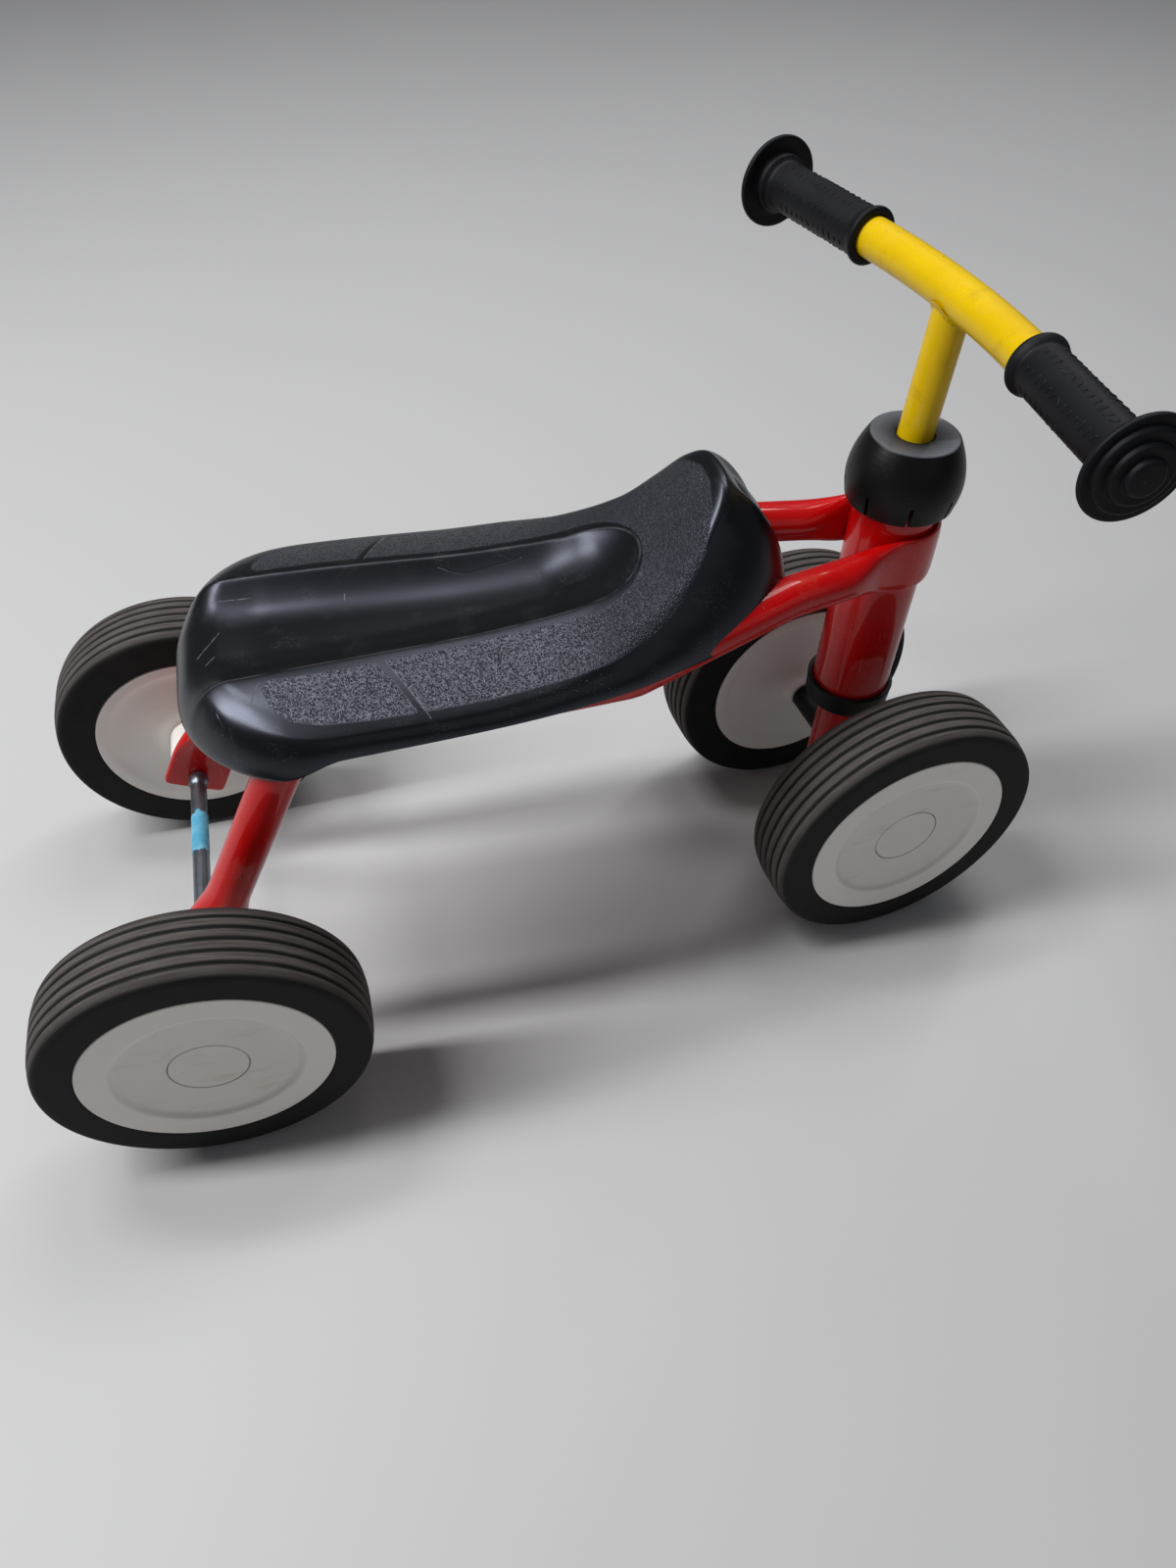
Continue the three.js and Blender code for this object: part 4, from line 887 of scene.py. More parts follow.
# %% From foot to foot
ends = [0, 0.1, 0.3, 0.6, 0.9, 1.6, 2.6, FOOT_CORNER]
distances = np.concatenate((ends, np.linspace(FOOT_CORNER, tube_length, 190)[1:]))
spots = points_along(left_line, distances)
ways = points_along(left_line, distances + 0.5) - points_along(left_line, distances - 0.5)
ways /= np.linalg.norm(ways, axis=1)[:, None]
left_half = list(zip(spots, ways, distances, tube_length - distances))
MIRROR = np.array([1, -1, 1])
stations = [(spot * MIRROR, way * MIRROR, run, rest) for spot, way, run, rest in left_half]
for angle in np.linspace(-math.pi / 2, math.pi / 2, 49)[1:-1]:
    spot = np.array([math.cos(angle), math.sin(angle), 0]) * NOSE_RADIUS + (NOSE_CENTRE, 0, RAIL_HEIGHT)
    stations.append((spot, np.array([-math.sin(angle), math.cos(angle), 0]), tube_length, 0))
stations += [(spot, -way, run, rest) for spot, way, run, rest in reversed(left_half)]
frame_tube = piece("bent_frame_tube", *lofted_mesh([tube_section(*station) for station in stations]), RED)

print("frame tube has", len(stations), "rings")

# %% Its two holes
NOSE_HOLE_RADIUS = 1.8
NOSE_HOLE_TURN = -0.6
nose_place = VEHICLE @ shift(NOSE_CENTRE, 0, RAIL_HEIGHT)
head_hole_profile = pipe(0, HEAD_RADIUS + 0.15, -40, 40)
head_hole = turned("head_hole", head_hole_profile, 96, RED, nose_place @ Matrix.Rotation(LEAN, 4, "Y"))
nose_side = VEHICLE @ shift(NOSE_CENTRE, 0, RAIL_HEIGHT + 2) @ Matrix.Rotation(NOSE_HOLE_TURN, 4, "Z")
nose_side = nose_side @ shift(NOSE_RADIUS + 2, 0, 0) @ Matrix.Rotation(math.pi / 2, 4, "Y")
nose_hole = turned("nose_hole", pipe(0, NOSE_HOLE_RADIUS, -4, 4), 24, RED, nose_side)
for hole in (head_hole, nose_hole):
    carve(frame_tube, "DIFFERENCE", hole)
soften(frame_tube)
belongs(frame_tube, "frame", "frame_tube")

# %% [markdown]
# ## The head tube and what turns in it
# The head tube is welded into the frame's nose. A black cup closes its lower end, and the column that
# carries the front axle turns in it. All of them are lathe work, so each one is a turned profile.

# %% Head tube, bearing cup, bushes and column
CUP_FLOOR = HEAD_BOTTOM - 0.3
CUP_BOTTOM = CUP_FLOOR - 3
CUP_TOP = CUP_BOTTOM + 13.2
BUSH_RADIUS = 18.75
COLUMN_FOOT = 63
COLUMN_TOP = 196
SOCKET_RADIUS = 9.1
SOCKET_BOTTOM = 156
tube_profile = pipe(HEAD_BORE, HEAD_RADIUS, HEAD_BOTTOM, HEAD_TOP)
lathe("steering_head_tube", tube_profile, 0.8, 96, RED, HEAD, "frame", "head_tube")
cup_profile = [
    (12.2, CUP_BOTTOM), (23.8, CUP_BOTTOM, 1.8), (24.6, CUP_TOP, 0.7), (22, CUP_TOP), (22, CUP_FLOOR),
    (12.2, CUP_FLOOR),
]
lathe("lower_bearing_cup", cup_profile, 0.5, 96, MATT, HEAD, "frame", "bearing_cup")
lower_bush_profile = pipe(12.1, BUSH_RADIUS, HEAD_BOTTOM, HEAD_BOTTOM + 20)
lathe("lower_bush", lower_bush_profile, 0.5, 64, SPACER_BLACK, HEAD, "frame", "lower_steering_bush")
upper_bush_profile = [
    (9.2, HEAD_TOP - 19.7), (BUSH_RADIUS, HEAD_TOP - 19.7), (BUSH_RADIUS, HEAD_TOP + 0.3),
    (21, HEAD_TOP + 0.3), (21, HEAD_TOP + 2.3), (9.2, HEAD_TOP + 2.3),
]
lathe("upper_bush", upper_bush_profile, 0.4, 64, SPACER_BLACK, HEAD, "frame", "upper_steering_bush")
column_profile = [
    (0, COLUMN_FOOT), (COLUMN_RADIUS, COLUMN_FOOT, 1.6), (COLUMN_RADIUS, CUP_BOTTOM - 0.4),
    (11.7, CUP_BOTTOM - 0.4), (11.7, COLUMN_TOP), (SOCKET_RADIUS, COLUMN_TOP),
    (SOCKET_RADIUS, SOCKET_BOTTOM), (0, SOCKET_BOTTOM),
]
lathe("steering_column_tube", column_profile, 0.6, 80, RED, STEERING, "steering", "steering_column",
      closed=False)

# %% [markdown]
# ## The bar
# The yellow bar is a gentle arc with straight ends under the grips. Its stem meets it from below, and the
# weld between them is a narrow fillet that follows the curve where the two tubes meet.

# %% Handlebar
def bar_point(angle):
    return np.array([BAR_FORWARD + BAR_ARC * (math.cos(angle) - 1), BAR_ARC * math.sin(angle), BAR_HEIGHT])


def grip_way(side):
    return np.array([-math.sin(BAR_SWEEP), side * math.cos(BAR_SWEEP), 0])


arc = [bar_point(angle) for angle in np.linspace(-BAR_SWEEP, BAR_SWEEP, 33)]
bar_ends = [arc[0] + grip_way(-1) * reach for reach in np.linspace(GRIP_LENGTH - 4, 4, 9)]
other_ends = [arc[-1] + grip_way(1) * reach for reach in np.linspace(4, GRIP_LENGTH - 4, 9)]
bar_rings = tube_along(bar_ends + arc + other_ends, BAR_RADIUS, 64)
bar = piece("curved_bar", *lofted_mesh(bar_rings), YELLOW, STEERING)
belongs(bar, "steering", "handlebar_tube")

# %% Stem and weld
STEM_BOTTOM = SOCKET_BOTTOM + 0.3


def stem_ring(height, radius=STEM_RADIUS, facets=72):
    """A level ring of the stem, which leans over to the bar's middle above the head cap."""
    forward = BAR_FORWARD * max(0, height - CAP_TOP) / (BAR_HEIGHT - CAP_TOP)
    angles = 2 * math.pi * np.arange(facets) / facets
    return [(forward + radius * math.cos(a), radius * math.sin(a), height) for a in angles]


stem_heights = [STEM_BOTTOM, *np.linspace(CAP_TOP, BAR_HEIGHT - 2, 9)]
stem_rings = [stem_ring(STEM_BOTTOM - 0.001, STEM_RADIUS - 0.5)]
stem_rings += [stem_ring(height) for height in stem_heights]
stem = piece("bar_stem", *lofted_mesh(stem_rings), YELLOW, STEERING)
belongs(stem, "steering", "handlebar_stem")

weld_rings = []
for lift, swell in ((-2.6, 0), (-1.5, 0.35), (-0.6, 0.9), (0.3, 1.6), (1.2, 1.9)):
    ring = []
    for k, (x, y, _) in enumerate(stem_ring(BAR_HEIGHT, STEM_RADIUS, 96)):
        drop = math.sqrt(max(BAR_RADIUS ** 2 - (x - BAR_FORWARD) ** 2, 0))
        out = 1 + (swell + 0.1 * math.sin(k * 1.7)) / STEM_RADIUS
        ring.append((BAR_FORWARD + (x - BAR_FORWARD) * out, y * out, BAR_HEIGHT - drop + lift))
    weld_rings.append(ring)
weld = piece("stem_weld", *lofted_mesh(weld_rings, False, False), YELLOW, STEERING, 80)
belongs(weld, "steering")

# %% [markdown]
# ## The head cap
# A black ball-shaped cover sits on the head tube. Its top is cut flat, with a narrow gap round the stem, and
# its skirt is slit into petals so that it can snap over the tube. The ball is turned, and the slits are
# cut out of it afterwards.

# %% Head cap
BALL_MIDDLE = 263
BALL_RADIUS = 29.2
CAP_MOUTH = 22.5
CAP_CEILING = 261
PETALS = 8
SLIT_SIZE = (0.03, 0.0018, 0.024)
ball = []
for height in CAP_BOTTOM + 1 + np.linspace(0, 1, 15) * (CAP_TOP - CAP_BOTTOM - 1.6):
    low = smooth(height, CAP_BOTTOM - 13, BALL_MIDDLE)
    fall = max(0, (height - BALL_MIDDLE) / (CAP_TOP - BALL_MIDDLE))
    radius = 25.6 + 3.6 * low ** 1.2 if height < BALL_MIDDLE else BALL_RADIUS - 7.2 * fall ** 1.9
    ball.append((radius, height, 0))
cap_profile = [
    (CAP_MOUTH, CAP_BOTTOM, 0.5), (ball[0][0] - 0.9, CAP_BOTTOM, 0.5),
    *ball,
    (21.2, CAP_TOP, 0.4), (9.5, CAP_TOP, 0.5), (SOCKET_RADIUS, CAP_TOP - 1.6), (SOCKET_RADIUS, CAP_CEILING),
    (CAP_MOUTH, CAP_CEILING),
]
cap = turned("head_cap_ball", rounded(cap_profile, 0.4), 144, CAP_BLACK, STEERING, 50)
for k in range(PETALS):
    slit = bmesh.new()
    bmesh.ops.create_cube(slit, size=1, matrix=Matrix.Diagonal((*SLIT_SIZE, 1)))
    bmesh.ops.bevel(slit, geom=slit.edges[:], offset=0.0007, segments=2, affect="EDGES")
    cutter = bpy.data.objects.new("slit", bpy.data.meshes.new("slit"))
    slit.to_mesh(cutter.data)
    slit.free()
    bpy.context.scene.collection.objects.link(cutter)
    turn = Matrix.Rotation(2 * math.pi * (k + 0.5) / PETALS, 4, "Z")
    cutter.matrix_world = STEERING @ turn @ shift(33, 0, CAP_BOTTOM)
    carve(cap, "DIFFERENCE", cutter)
soften(cap, 50)
reach, height = reach_and_height(cap)
# The cap's flat top gets dust and a painted sheen.
store(cap, "dust_and_sheen", smooth(height, CAP_TOP - 0.6, CAP_TOP - 0.1) * smooth(reach, 9.6, 14))
belongs(cap, "steering", "head_cap")

# %% [markdown]
# ## The grips
# Each grip is a rubber sleeve with a round bead at its inner end and a wide stepped disc outside, which
# keeps small hands safe. The sleeve is turned, and rows of small raised bars stand on it for hold. The
# bars are tiny bent boxes that follow the sleeve's curve.

# %% The shape of a grip
GRIP_RADIUS = 11.5
DISC_RADIUS = 21.75
DISC_FACE = GRIP_LENGTH + 3
DISC_RISE = 6.8
STEPS = (17.2, 12.2, 7.2)
STEP_HEIGHT = DISC_RISE / len(STEPS)


def grip_profile():
    profile = [
        (9.8, 0, 0.6), (13.2, 0, 1.2), (13.7, 2, 1.4), (12.6, 4.6, 1.0), (GRIP_RADIUS, 6, 1.2),
        (GRIP_RADIUS, GRIP_LENGTH - 5.5, 1.6), (14.2, GRIP_LENGTH - 3.4, 1.2),
        (14.2, GRIP_LENGTH - 0.4, 0.8), (15.6, GRIP_LENGTH, 0.5), (DISC_RADIUS, GRIP_LENGTH - 0.1, 1.3),
        (DISC_RADIUS, DISC_FACE, 1.3),
    ]
    for k, radius in enumerate(STEPS):
        low = DISC_FACE + k * STEP_HEIGHT
        profile += [(radius + 0.7, low - 0.6, 0.5), (radius, low + STEP_HEIGHT - 0.2, 1)]
    return profile + [(0, DISC_FACE + DISC_RISE), (0, GRIP_LENGTH), (9.8, GRIP_LENGTH)]


MARK_HALF_WIDTH = 0.65
MARK_PROUD = 0.32
MARK_SUNK = 0.12


def raised_mark(along, angle, length, slant, points, faces):
    """A low rounded bar on the sleeve: a 4 by 7 patch whose middle stands proud."""
    first = len(points)
    for i, across in enumerate((-1, -0.62, 0.62, 1)):
        for j, reach in enumerate((-1, -0.85, -0.4, 0, 0.4, 0.85, 1)):
            radius = GRIP_RADIUS + (MARK_PROUD if 0 < i < 3 and 0 < j < 6 else -MARK_SUNK)
            height = along + across * MARK_HALF_WIDTH + reach * length * 0.5 * slant
            turn = angle + reach * length * 0.5 * (1 - abs(slant) * 0.4) / GRIP_RADIUS
            points.append((radius * math.cos(turn), radius * math.sin(turn), height))
    for i in range(3):
        for j in range(6):
            a = first + i * 7 + j
            faces.append((a, a + 1, a + 8, a + 7))
    border = [*range(7), 13, 20, *range(27, 20, -1), 14, 7]
    faces.append([first + k for k in reversed(border)])


print("grip disc", 2 * DISC_RADIUS, "mm wide")

# %% Two grips with their marks
MARKS = [(4.4, 0), (4.0, 0.55), (2.4, 0), (4.2, -0.5), (3.0, 0.2), (4.4, 0), (3.6, -0.6), (2.2, 0)]
MARK_ROWS = 8
MARKS_IN_ROW = 14
MARK_PITCH = 4.35
FIRST_MARK = 11
for side, name in SIDES:
    turn = Matrix.Rotation(side * BAR_SWEEP, 4, "Z") @ along_axle(side)
    place = STEERING @ shift(*bar_point(side * BAR_SWEEP)) @ turn
    lathe(f"{name}_grip_sleeve", grip_profile(), 0.5, 96, GRIP, place, "steering", f"grip_{name}",
          sharp_above=60)
    points, faces = [], []
    for row in range(MARK_ROWS):
        for k in range(MARKS_IN_ROW):
            length, slant = MARKS[(k * 3 + row * 5) % len(MARKS)]
            angle = 2 * math.pi * (row + 0.5) / MARK_ROWS
            raised_mark(FIRST_MARK + k * MARK_PITCH, angle, length, slant, points, faces)
    belongs(piece(f"{name}_grip_bars", points, faces, GRIP, place, 70), "steering")
print("grips done, each with", MARK_ROWS * MARKS_IN_ROW, "raised bars")

# %% [markdown]
# ## The wheels
# A wheel is a moulded rim with a thick rubber tyre snapped over it. The tread has five grooves, which leave
# six ribs, and a gently rounded crown. The rim's outer face has a flat border, a step, and a dished middle
# with a round cap. Two extra values are stored on each mesh: `rib` says where floors rub the tread, and
# `soil` says where grime gathers on the rim.

# %% Sizes of a wheel
GROOVES = 5
GROOVE_PITCH = 6.4
GROOVE_WIDTH = 2.8
GROOVE_DEPTH = 1.3
TREAD_FLAT = 5.6
TREAD_DROP = 2.1
RIM_FACE = 60
RIM_BACK = 57.4
RIM_LIP = 2.8
LIP_FACE = HALF_TYRE - RIM_LIP
DRUM = RIM_BACK - 5.4
DISH_FACE = HALF_TYRE - 2.4
CAP_RADIUS = 18.8
POCKET = DISH_FACE - 5.5
HUB_BORE = 6.5
RIM_GAP = 0.3
BOSS_REACH = 10
SHOULDER = 18
print("a tyre has", GROOVES, "grooves", GROOVE_DEPTH, "mm deep")


# %% Tyre and rim in profile
def crown(height):
    outside = np.maximum(0, np.abs(height) - TREAD_FLAT) / (HALF_TYRE - TREAD_FLAT)
    return WHEEL_RADIUS - TREAD_DROP * outside ** 2


def tyre_profile():
    half = GROOVE_WIDTH / 2
    shoulder = [(70, HALF_TYRE), (76.6, HALF_TYRE, 3), (crown(SHOULDER + 0.4), SHOULDER, 1.5)]
    profile = [(RIM_BACK + RIM_GAP, -HALF_TYRE, 0.5)]
    profile += [(radius, -height, *corner) for radius, height, *corner in shoulder]
    for k in range(GROOVES):
        middle = (k - (GROOVES - 1) / 2) * GROOVE_PITCH
        bottom = crown(middle) - GROOVE_DEPTH
        profile += [
            (crown(middle - half), middle - half, 0.35), (bottom, middle - half * 0.35, 0.4),
            (bottom, middle + half * 0.35, 0.4), (crown(middle + half), middle + half, 0.35),
        ]
    seat = LIP_FACE - RIM_GAP
    return profile + shoulder[::-1] + [
        (RIM_FACE + 0.2, HALF_TYRE, 0.5), (RIM_FACE + RIM_GAP, seat), (DRUM + RIM_GAP, seat),
        (DRUM + RIM_GAP, -seat), (RIM_BACK + RIM_GAP, -seat),
    ]


def rim_profile(boss):
    if boss:
        inner = [
            (HUB_BORE, -HALF_TYRE - BOSS_REACH), (9.6, -HALF_TYRE - BOSS_REACH, 0.8),
            (11, -HALF_TYRE - 4.5, 3), (18, -HALF_TYRE - 0.2, 3),
        ]
    else:
        inner = [(HUB_BORE, -HALF_TYRE), (18, -HALF_TYRE, 1.2)]
    return inner + [
        (26, -HALF_TYRE + 1.7, 6), (46.5, -HALF_TYRE + 2.4, 5), (51.8, -HALF_TYRE, 1.6),
        (RIM_BACK, -HALF_TYRE, 0.8), (RIM_BACK, -LIP_FACE), (DRUM, -LIP_FACE), (DRUM, LIP_FACE),
        (RIM_FACE, LIP_FACE), (RIM_FACE, HALF_TYRE, 0.8), (45.3, HALF_TYRE, 1.1), (43.2, DISH_FACE, 1.6),
        (CAP_RADIUS + 0.3, DISH_FACE, 0.3), (CAP_RADIUS + 0.3, POCKET), (HUB_BORE, POCKET),
    ]


print("tread crown", crown(0), "to", round(crown(18.4), 2), "mm")

# %% Four wheels
WHEEL_FACETS = 160


def build_wheel(name, base, across, side):
    body = f"{name}_wheel"
    place = axle_place(base, side, across)
    boss = name.startswith("front")
    tyre = lathe(f"{name}_ribbed_tyre", tyre_profile(), 0.6, WHEEL_FACETS, TYRE, place, body, f"{name}_tyre")
    reach, height = reach_and_height(tyre)
    high, inside = smooth(reach - crown(height), -0.9, -0.15), smooth(HALF_TYRE - np.abs(height), 0.2, 2.4)
    store(tyre, "rib", high * inside)
    store(tyre, "shoulder", smooth(np.abs(height), 14.6, 17))

    rim = lathe(f"{name}_moulded_rim", rim_profile(boss), 0.5, WHEEL_FACETS, WHITE, place, body,
                f"{name}_rim")
    reach, height = reach_and_height(rim)
    store(rim, "soil", 0.2 + 0.8 * smooth(reach, 46, 41) * (height > 0))
    # Painted shade for the groove round the hub cap.
    store(rim, "hub_groove_shade", smooth(np.abs(reach - CAP_RADIUS - 0.3), 0.6, 0.1) * (height > 0))

    low = DISH_FACE - 2.2
    lid = [(0, low), (CAP_RADIUS, low), (CAP_RADIUS, DISH_FACE, 0.5), (0, DISH_FACE + 0.05)]
    hub = lathe(f"{name}_round_hub_cap", lid, 0.3, 96, WHITE, place, body, f"{name}_hub_cap", closed=False)
    store(hub, "soil", np.full(len(hub.data.vertices), 0.95))
    for thing in (tyre, rim, hub):
        store_rest_place(thing)

    bush_profile = pipe(4.45, 6.15, -HALF_TYRE - BOSS_REACH * boss, POCKET)
    lathe(f"{name}_axle_bush", bush_profile, 0.3, 48, SPACER_BLACK, place, body, f"{name}_bush")
    nut_profile = [(4.3, POCKET + 0.4), (8, POCKET + 0.4, 0.4), (8, POCKET + 2.4, 0.8), (4.3, POCKET + 3)]
    nut_body = "steering" if boss else "frame"
    lathe(f"{name}_press_nut", nut_profile, 0.3, 48, ZINC, place, nut_body, f"{name}_axle_nut")


for wheel_name, (base, across, side) in WHEELS.items():
    build_wheel(wheel_name, base, across, side)
print("wheels done")

# %% [markdown]
# ## Axles, spacers and the strip of tape
# A bare steel rod joins the two rear feet. Near each foot it swells into a shoulder, where it was upset to
# stop the foot from sliding in. White sleeves keep the rear wheels off the frame, and black ones keep the
# front wheels off the column.

# %% Rods, sleeves and washers
AXLE_END_REACH = POCKET + 2.6
rear_end = REAR_TRACK / 2 + AXLE_END_REACH
foot_inside = FOOT_SPREAD - FOOT_HALF_THICKNESS - 0.3
rod_half = [
    (ROD_RADIUS, foot_inside - 9, 1), (5.7, foot_inside - 6, 2), (5.8, foot_inside - 1.6, 1.5),
    (ROD_RADIUS, foot_inside, 0.4), (AXLE_RADIUS, foot_inside, 0.1), (AXLE_RADIUS, rear_end, 0.6),
    (0, rear_end),
]
rod_profile = [(radius, -height, *corner) for radius, height, *corner in reversed(rod_half)] + rod_half
rod_place = axle_place(VEHICLE, 1)
lathe("rear_axle_rod", rod_profile, 0.3, 64, STEEL, rod_place, "frame", "rear_axle", closed=False)
front_end = FRONT_TRACK / 2 + AXLE_END_REACH
front_profile = pipe(0, AXLE_RADIUS, -front_end, front_end)
lathe("front_axle_rod", front_profile, 0.6, 48, ZINC, axle_place(STEERING, 1), "steering", "front_axle",
      closed=False)

WASHER_BORE = 4.3
washer_start = FOOT_SPREAD + FOOT_HALF_THICKNESS + 0.3
rear_hub = REAR_TRACK / 2 - HALF_TYRE
front_hub = FRONT_TRACK / 2 - HALF_TYRE - BOSS_REACH
# Piece, outer radius, where it starts and ends, finish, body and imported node
SLEEVES = [
    ("foot_washer", 9, washer_start, washer_start + 1.4, ZINC, "frame", "rear_washer"),
    ("rear_sleeve", 15, washer_start + 1.7, rear_hub - 0.4, WHITE, "frame", "rear_spacer"),
    ("front_sleeve", 8.7, 10, front_hub - 0.4, SPACER_BLACK, "steering", "front_spacer"),
]
for side, name in SIDES:
    for kind, radius, start, end, finish, body, node in SLEEVES:
        place = axle_place(VEHICLE if body == "frame" else STEERING, side)
        profile = pipe(WASHER_BORE, radius, start, end)
        made = lathe(f"{name}_{kind}", profile, 0.6, 64, finish, place, body, f"{node}_{name}")
        if finish is WHITE:
            store(made, "soil", np.full(len(made.data.vertices), 0.1))
            store_rest_place(made)
print("axles done")

# %% The tape on the rod
TAPE_FROM = 1.3
TAPE_TO = 28
TAPE_LIFT = 0.17
TAPE_STEPS = 40
TAPE_FACETS = 56
tape_rings = []
for row in range(TAPE_STEPS + 1):
    ring = []
    for angle in 2 * math.pi * np.arange(TAPE_FACETS) / TAPE_FACETS:
        ragged = 3.2 * abs(math.sin(angle * 1.5 + 0.6)) + 0.9 * math.sin(angle * 7)
        ragged += 0.5 * math.sin(angle * 17 + 1)
        frayed = 0.5 * math.sin(angle * 5) + 0.3 * math.sin(angle * 13)
        low, high = TAPE_FROM + frayed, TAPE_TO + ragged
        along = low + (high - low) * row / TAPE_STEPS
        wrinkle = 0.03 * math.sin(along * 1.9 + angle * 2) + 0.02 * math.sin(along * 4.3 - angle * 3)
        radius = ROD_RADIUS + TAPE_LIFT + wrinkle
        ring.append((radius * math.cos(angle), radius * math.sin(angle), along))
    tape_rings.append(ring)
inside_rings = [[(x * 0.955, y * 0.955, z) for x, y, z in ring] for ring in reversed(tape_rings)]
points, faces = lofted_mesh(tape_rings + inside_rings, False, False)
last_ring = (2 * TAPE_STEPS + 1) * TAPE_FACETS
for k in range(TAPE_FACETS):
    n = (k + 1) % TAPE_FACETS
    faces.append((last_ring + k, last_ring + n, n, k))
belongs(piece("axle_tape", points, faces, TAPE, rod_place, 60), "frame")

# %% [markdown]
# ## The saddle
# The saddle is one moulded shell. Seen from above it is wide behind and narrows to a rounded nose. A trough
# runs along its middle, open to the rear, and in front the shell rises to a hump. Its walls bulge down to a
# skirt that hangs lower round the legs. The shape is a height over a plan outline, so it is skinned from
# rings: up the wall along quarter ellipses, and then inwards over the top towards a spine. One of the inner
# rings follows the trough's edge, which keeps that edge crisp. The top rolls down a little just inside its
# edge, most at the rear and along the crest of the hump, and that roll is what catches the light.

# %% Sizes of the saddle
SEAT_OVER_RAILS = 26
SKIRT_OVER_RAILS = 1.2
HUMP = 52
SADDLE_REAR = 33
SADDLE_FRONT = NOSE_CENTRE - 98
SADDLE_REAR_RADIUS = 58
SADDLE_HALF_WIDTH = 72.8
SKIRT_REAR = 20
SKIRT_FRONT = NOSE_CENTRE - 60
SADDLE_WALL = 3.2
REAR_ROLL = 6
REAR_ROLL_WIDTH = 11
CREST_ROLL = 2.2
CREST_ROLL_WIDTH = 6
TROUGH_DEPTH = 11
TROUGH_HALF_WIDTH = 37
TROUGH_BANK = 28
TROUGH_END_RADIUS = 26.5
TROUGH_TURN = 222
TROUGH_FRONT = TROUGH_TURN + TROUGH_END_RADIUS
EDGE_SOFTNESS = 1.1
LUG_MIDDLE = 62
LUG_BULGE = 1.5
CURVE_STEPS = 60
OUTLINE_STEPS = 170
print("saddle", round(SADDLE_FRONT - SADDLE_REAR), "mm long at its top edge")


# %% Its outlines seen from above
def on_saddle(share):
    return SADDLE_REAR + share * (SADDLE_FRONT - SADDLE_REAR)


def on_skirt(share):
    return SKIRT_REAR + share * (SKIRT_FRONT - SKIRT_REAR)


TOP_EDGE = (SADDLE_REAR, SADDLE_REAR_RADIUS, SADDLE_HALF_WIDTH, on_saddle(0.83), 49.5, 0.48, SADDLE_FRONT, 27)
SKIRT_EDGE = (SKIRT_REAR, 64, 77.5, on_skirt(0.75), 61, 0.3, SKIRT_FRONT, 40)


def half_outline(edge, margin):
    """The left half of a plan outline, from the middle of the rear to the middle of the front: xs and ys."""
    rear, radius, half_width, neck, neck_width, slope, front, nose_width = edge
    half_width, radius, neck_width = half_width - margin, radius - margin, neck_width - margin
    start, end = rear + margin, front - margin
    turn = start + radius
    reach = neck - turn
    handle = (end - neck) * 0.55
    quarter = np.linspace(math.pi, math.pi / 2, CURVE_STEPS)
    line = [(start, 0), *zip(turn + radius * np.cos(quarter), half_width - radius + radius * np.sin(quarter))]
    before_neck = neck - reach * 0.25, neck_width + reach * 0.25 * slope
    line += [*bezier((turn, half_width), (turn + reach * 0.5, half_width), before_neck, (neck, neck_width),
                     CURVE_STEPS)]
    line += [*bezier((neck, neck_width), (neck + handle, neck_width - handle * slope),
                     (end, nose_width - margin), (end, 0), CURVE_STEPS)]
    line = np.array(line)
    return points_along(line, np.linspace(0, run_of(line)[-1], OUTLINE_STEPS + 1)).T


print("outlines of", OUTLINE_STEPS + 1, "points")


# %% Lines through given heights
def through(*pairs):
    """A smooth line through (x, value) pairs that never overshoots them, kept as a fine table."""
    xs, values = np.array(pairs, float).T
    slopes = np.diff(values) / np.diff(xs)
    both = slopes[:-1] + slopes[1:]
    one_way = slopes[:-1] * slopes[1:] > 0
    inner = np.where(one_way, 2 * slopes[:-1] * slopes[1:] / np.where(one_way, both, 1), 0)
    tangents = np.concatenate(([0], inner, [0]))
    fine = np.linspace(xs[0], xs[-1], 1500)
    i = np.clip(np.searchsorted(xs, fine, "right") - 1, 0, len(xs) - 2)
    width = xs[i + 1] - xs[i]
    t = (fine - xs[i]) / width
    table = values[i] * (1 + 2 * t) * (1 - t) ** 2 + tangents[i] * width * t * (1 - t) ** 2
    table += values[i + 1] * t * t * (3 - 2 * t) + tangents[i + 1] * width * t * t * (t - 1)
    return lambda x: np.interp(x, fine, table)


def along_saddle(*pairs):
    return through(*((on_saddle(share), value) for share, value in pairs))


print("lines ready")

# %% Heights along the saddle
TOP_BORDER = np.concatenate((half_outline(TOP_EDGE, 0).T, [(SADDLE_FRONT, -90), (SADDLE_REAR, -90)]))
crown_offset = along_saddle(
    (0, -1.2), (0.25, -0.9), (0.48, -1.2), (0.64, 0.8), (0.72, 3), (0.8, 0.17 * HUMP), (0.86, 0.29 * HUMP),
    (0.923, 0.6 * HUMP), (0.97, 0.88 * HUMP), (1, HUMP),
)
side_fall = along_saddle(
    (0.25, 0.0011), (0.64, 0.00125), (0.8, 0.0013), (0.86, 0.0011), (0.923, 0.0017), (0.955, 0.002),
)
floor_offset = through(
    (33, -1), (63.5, -3.6), (97, -3.3), (155, -2.5), (201, 1.2), (225, 7), (240, 9.5), (TROUGH_FRONT, 11),
)
trough_spread = through(
    (33, TROUGH_HALF_WIDTH), (97, TROUGH_HALF_WIDTH - 2), (190, 29.5), (209, 28),
    (TROUGH_TURN, TROUGH_END_RADIUS),
)
skirt_drop = through(
    (on_skirt(0.14), 9.5), (on_skirt(0.235), 0.6), (on_skirt(0.7), -2.8), (on_skirt(0.88), -3.8),
    (SKIRT_FRONT, 1.2),
)


print("the saddle starts", SADDLE_REAR, "mm ahead of the rear axle")


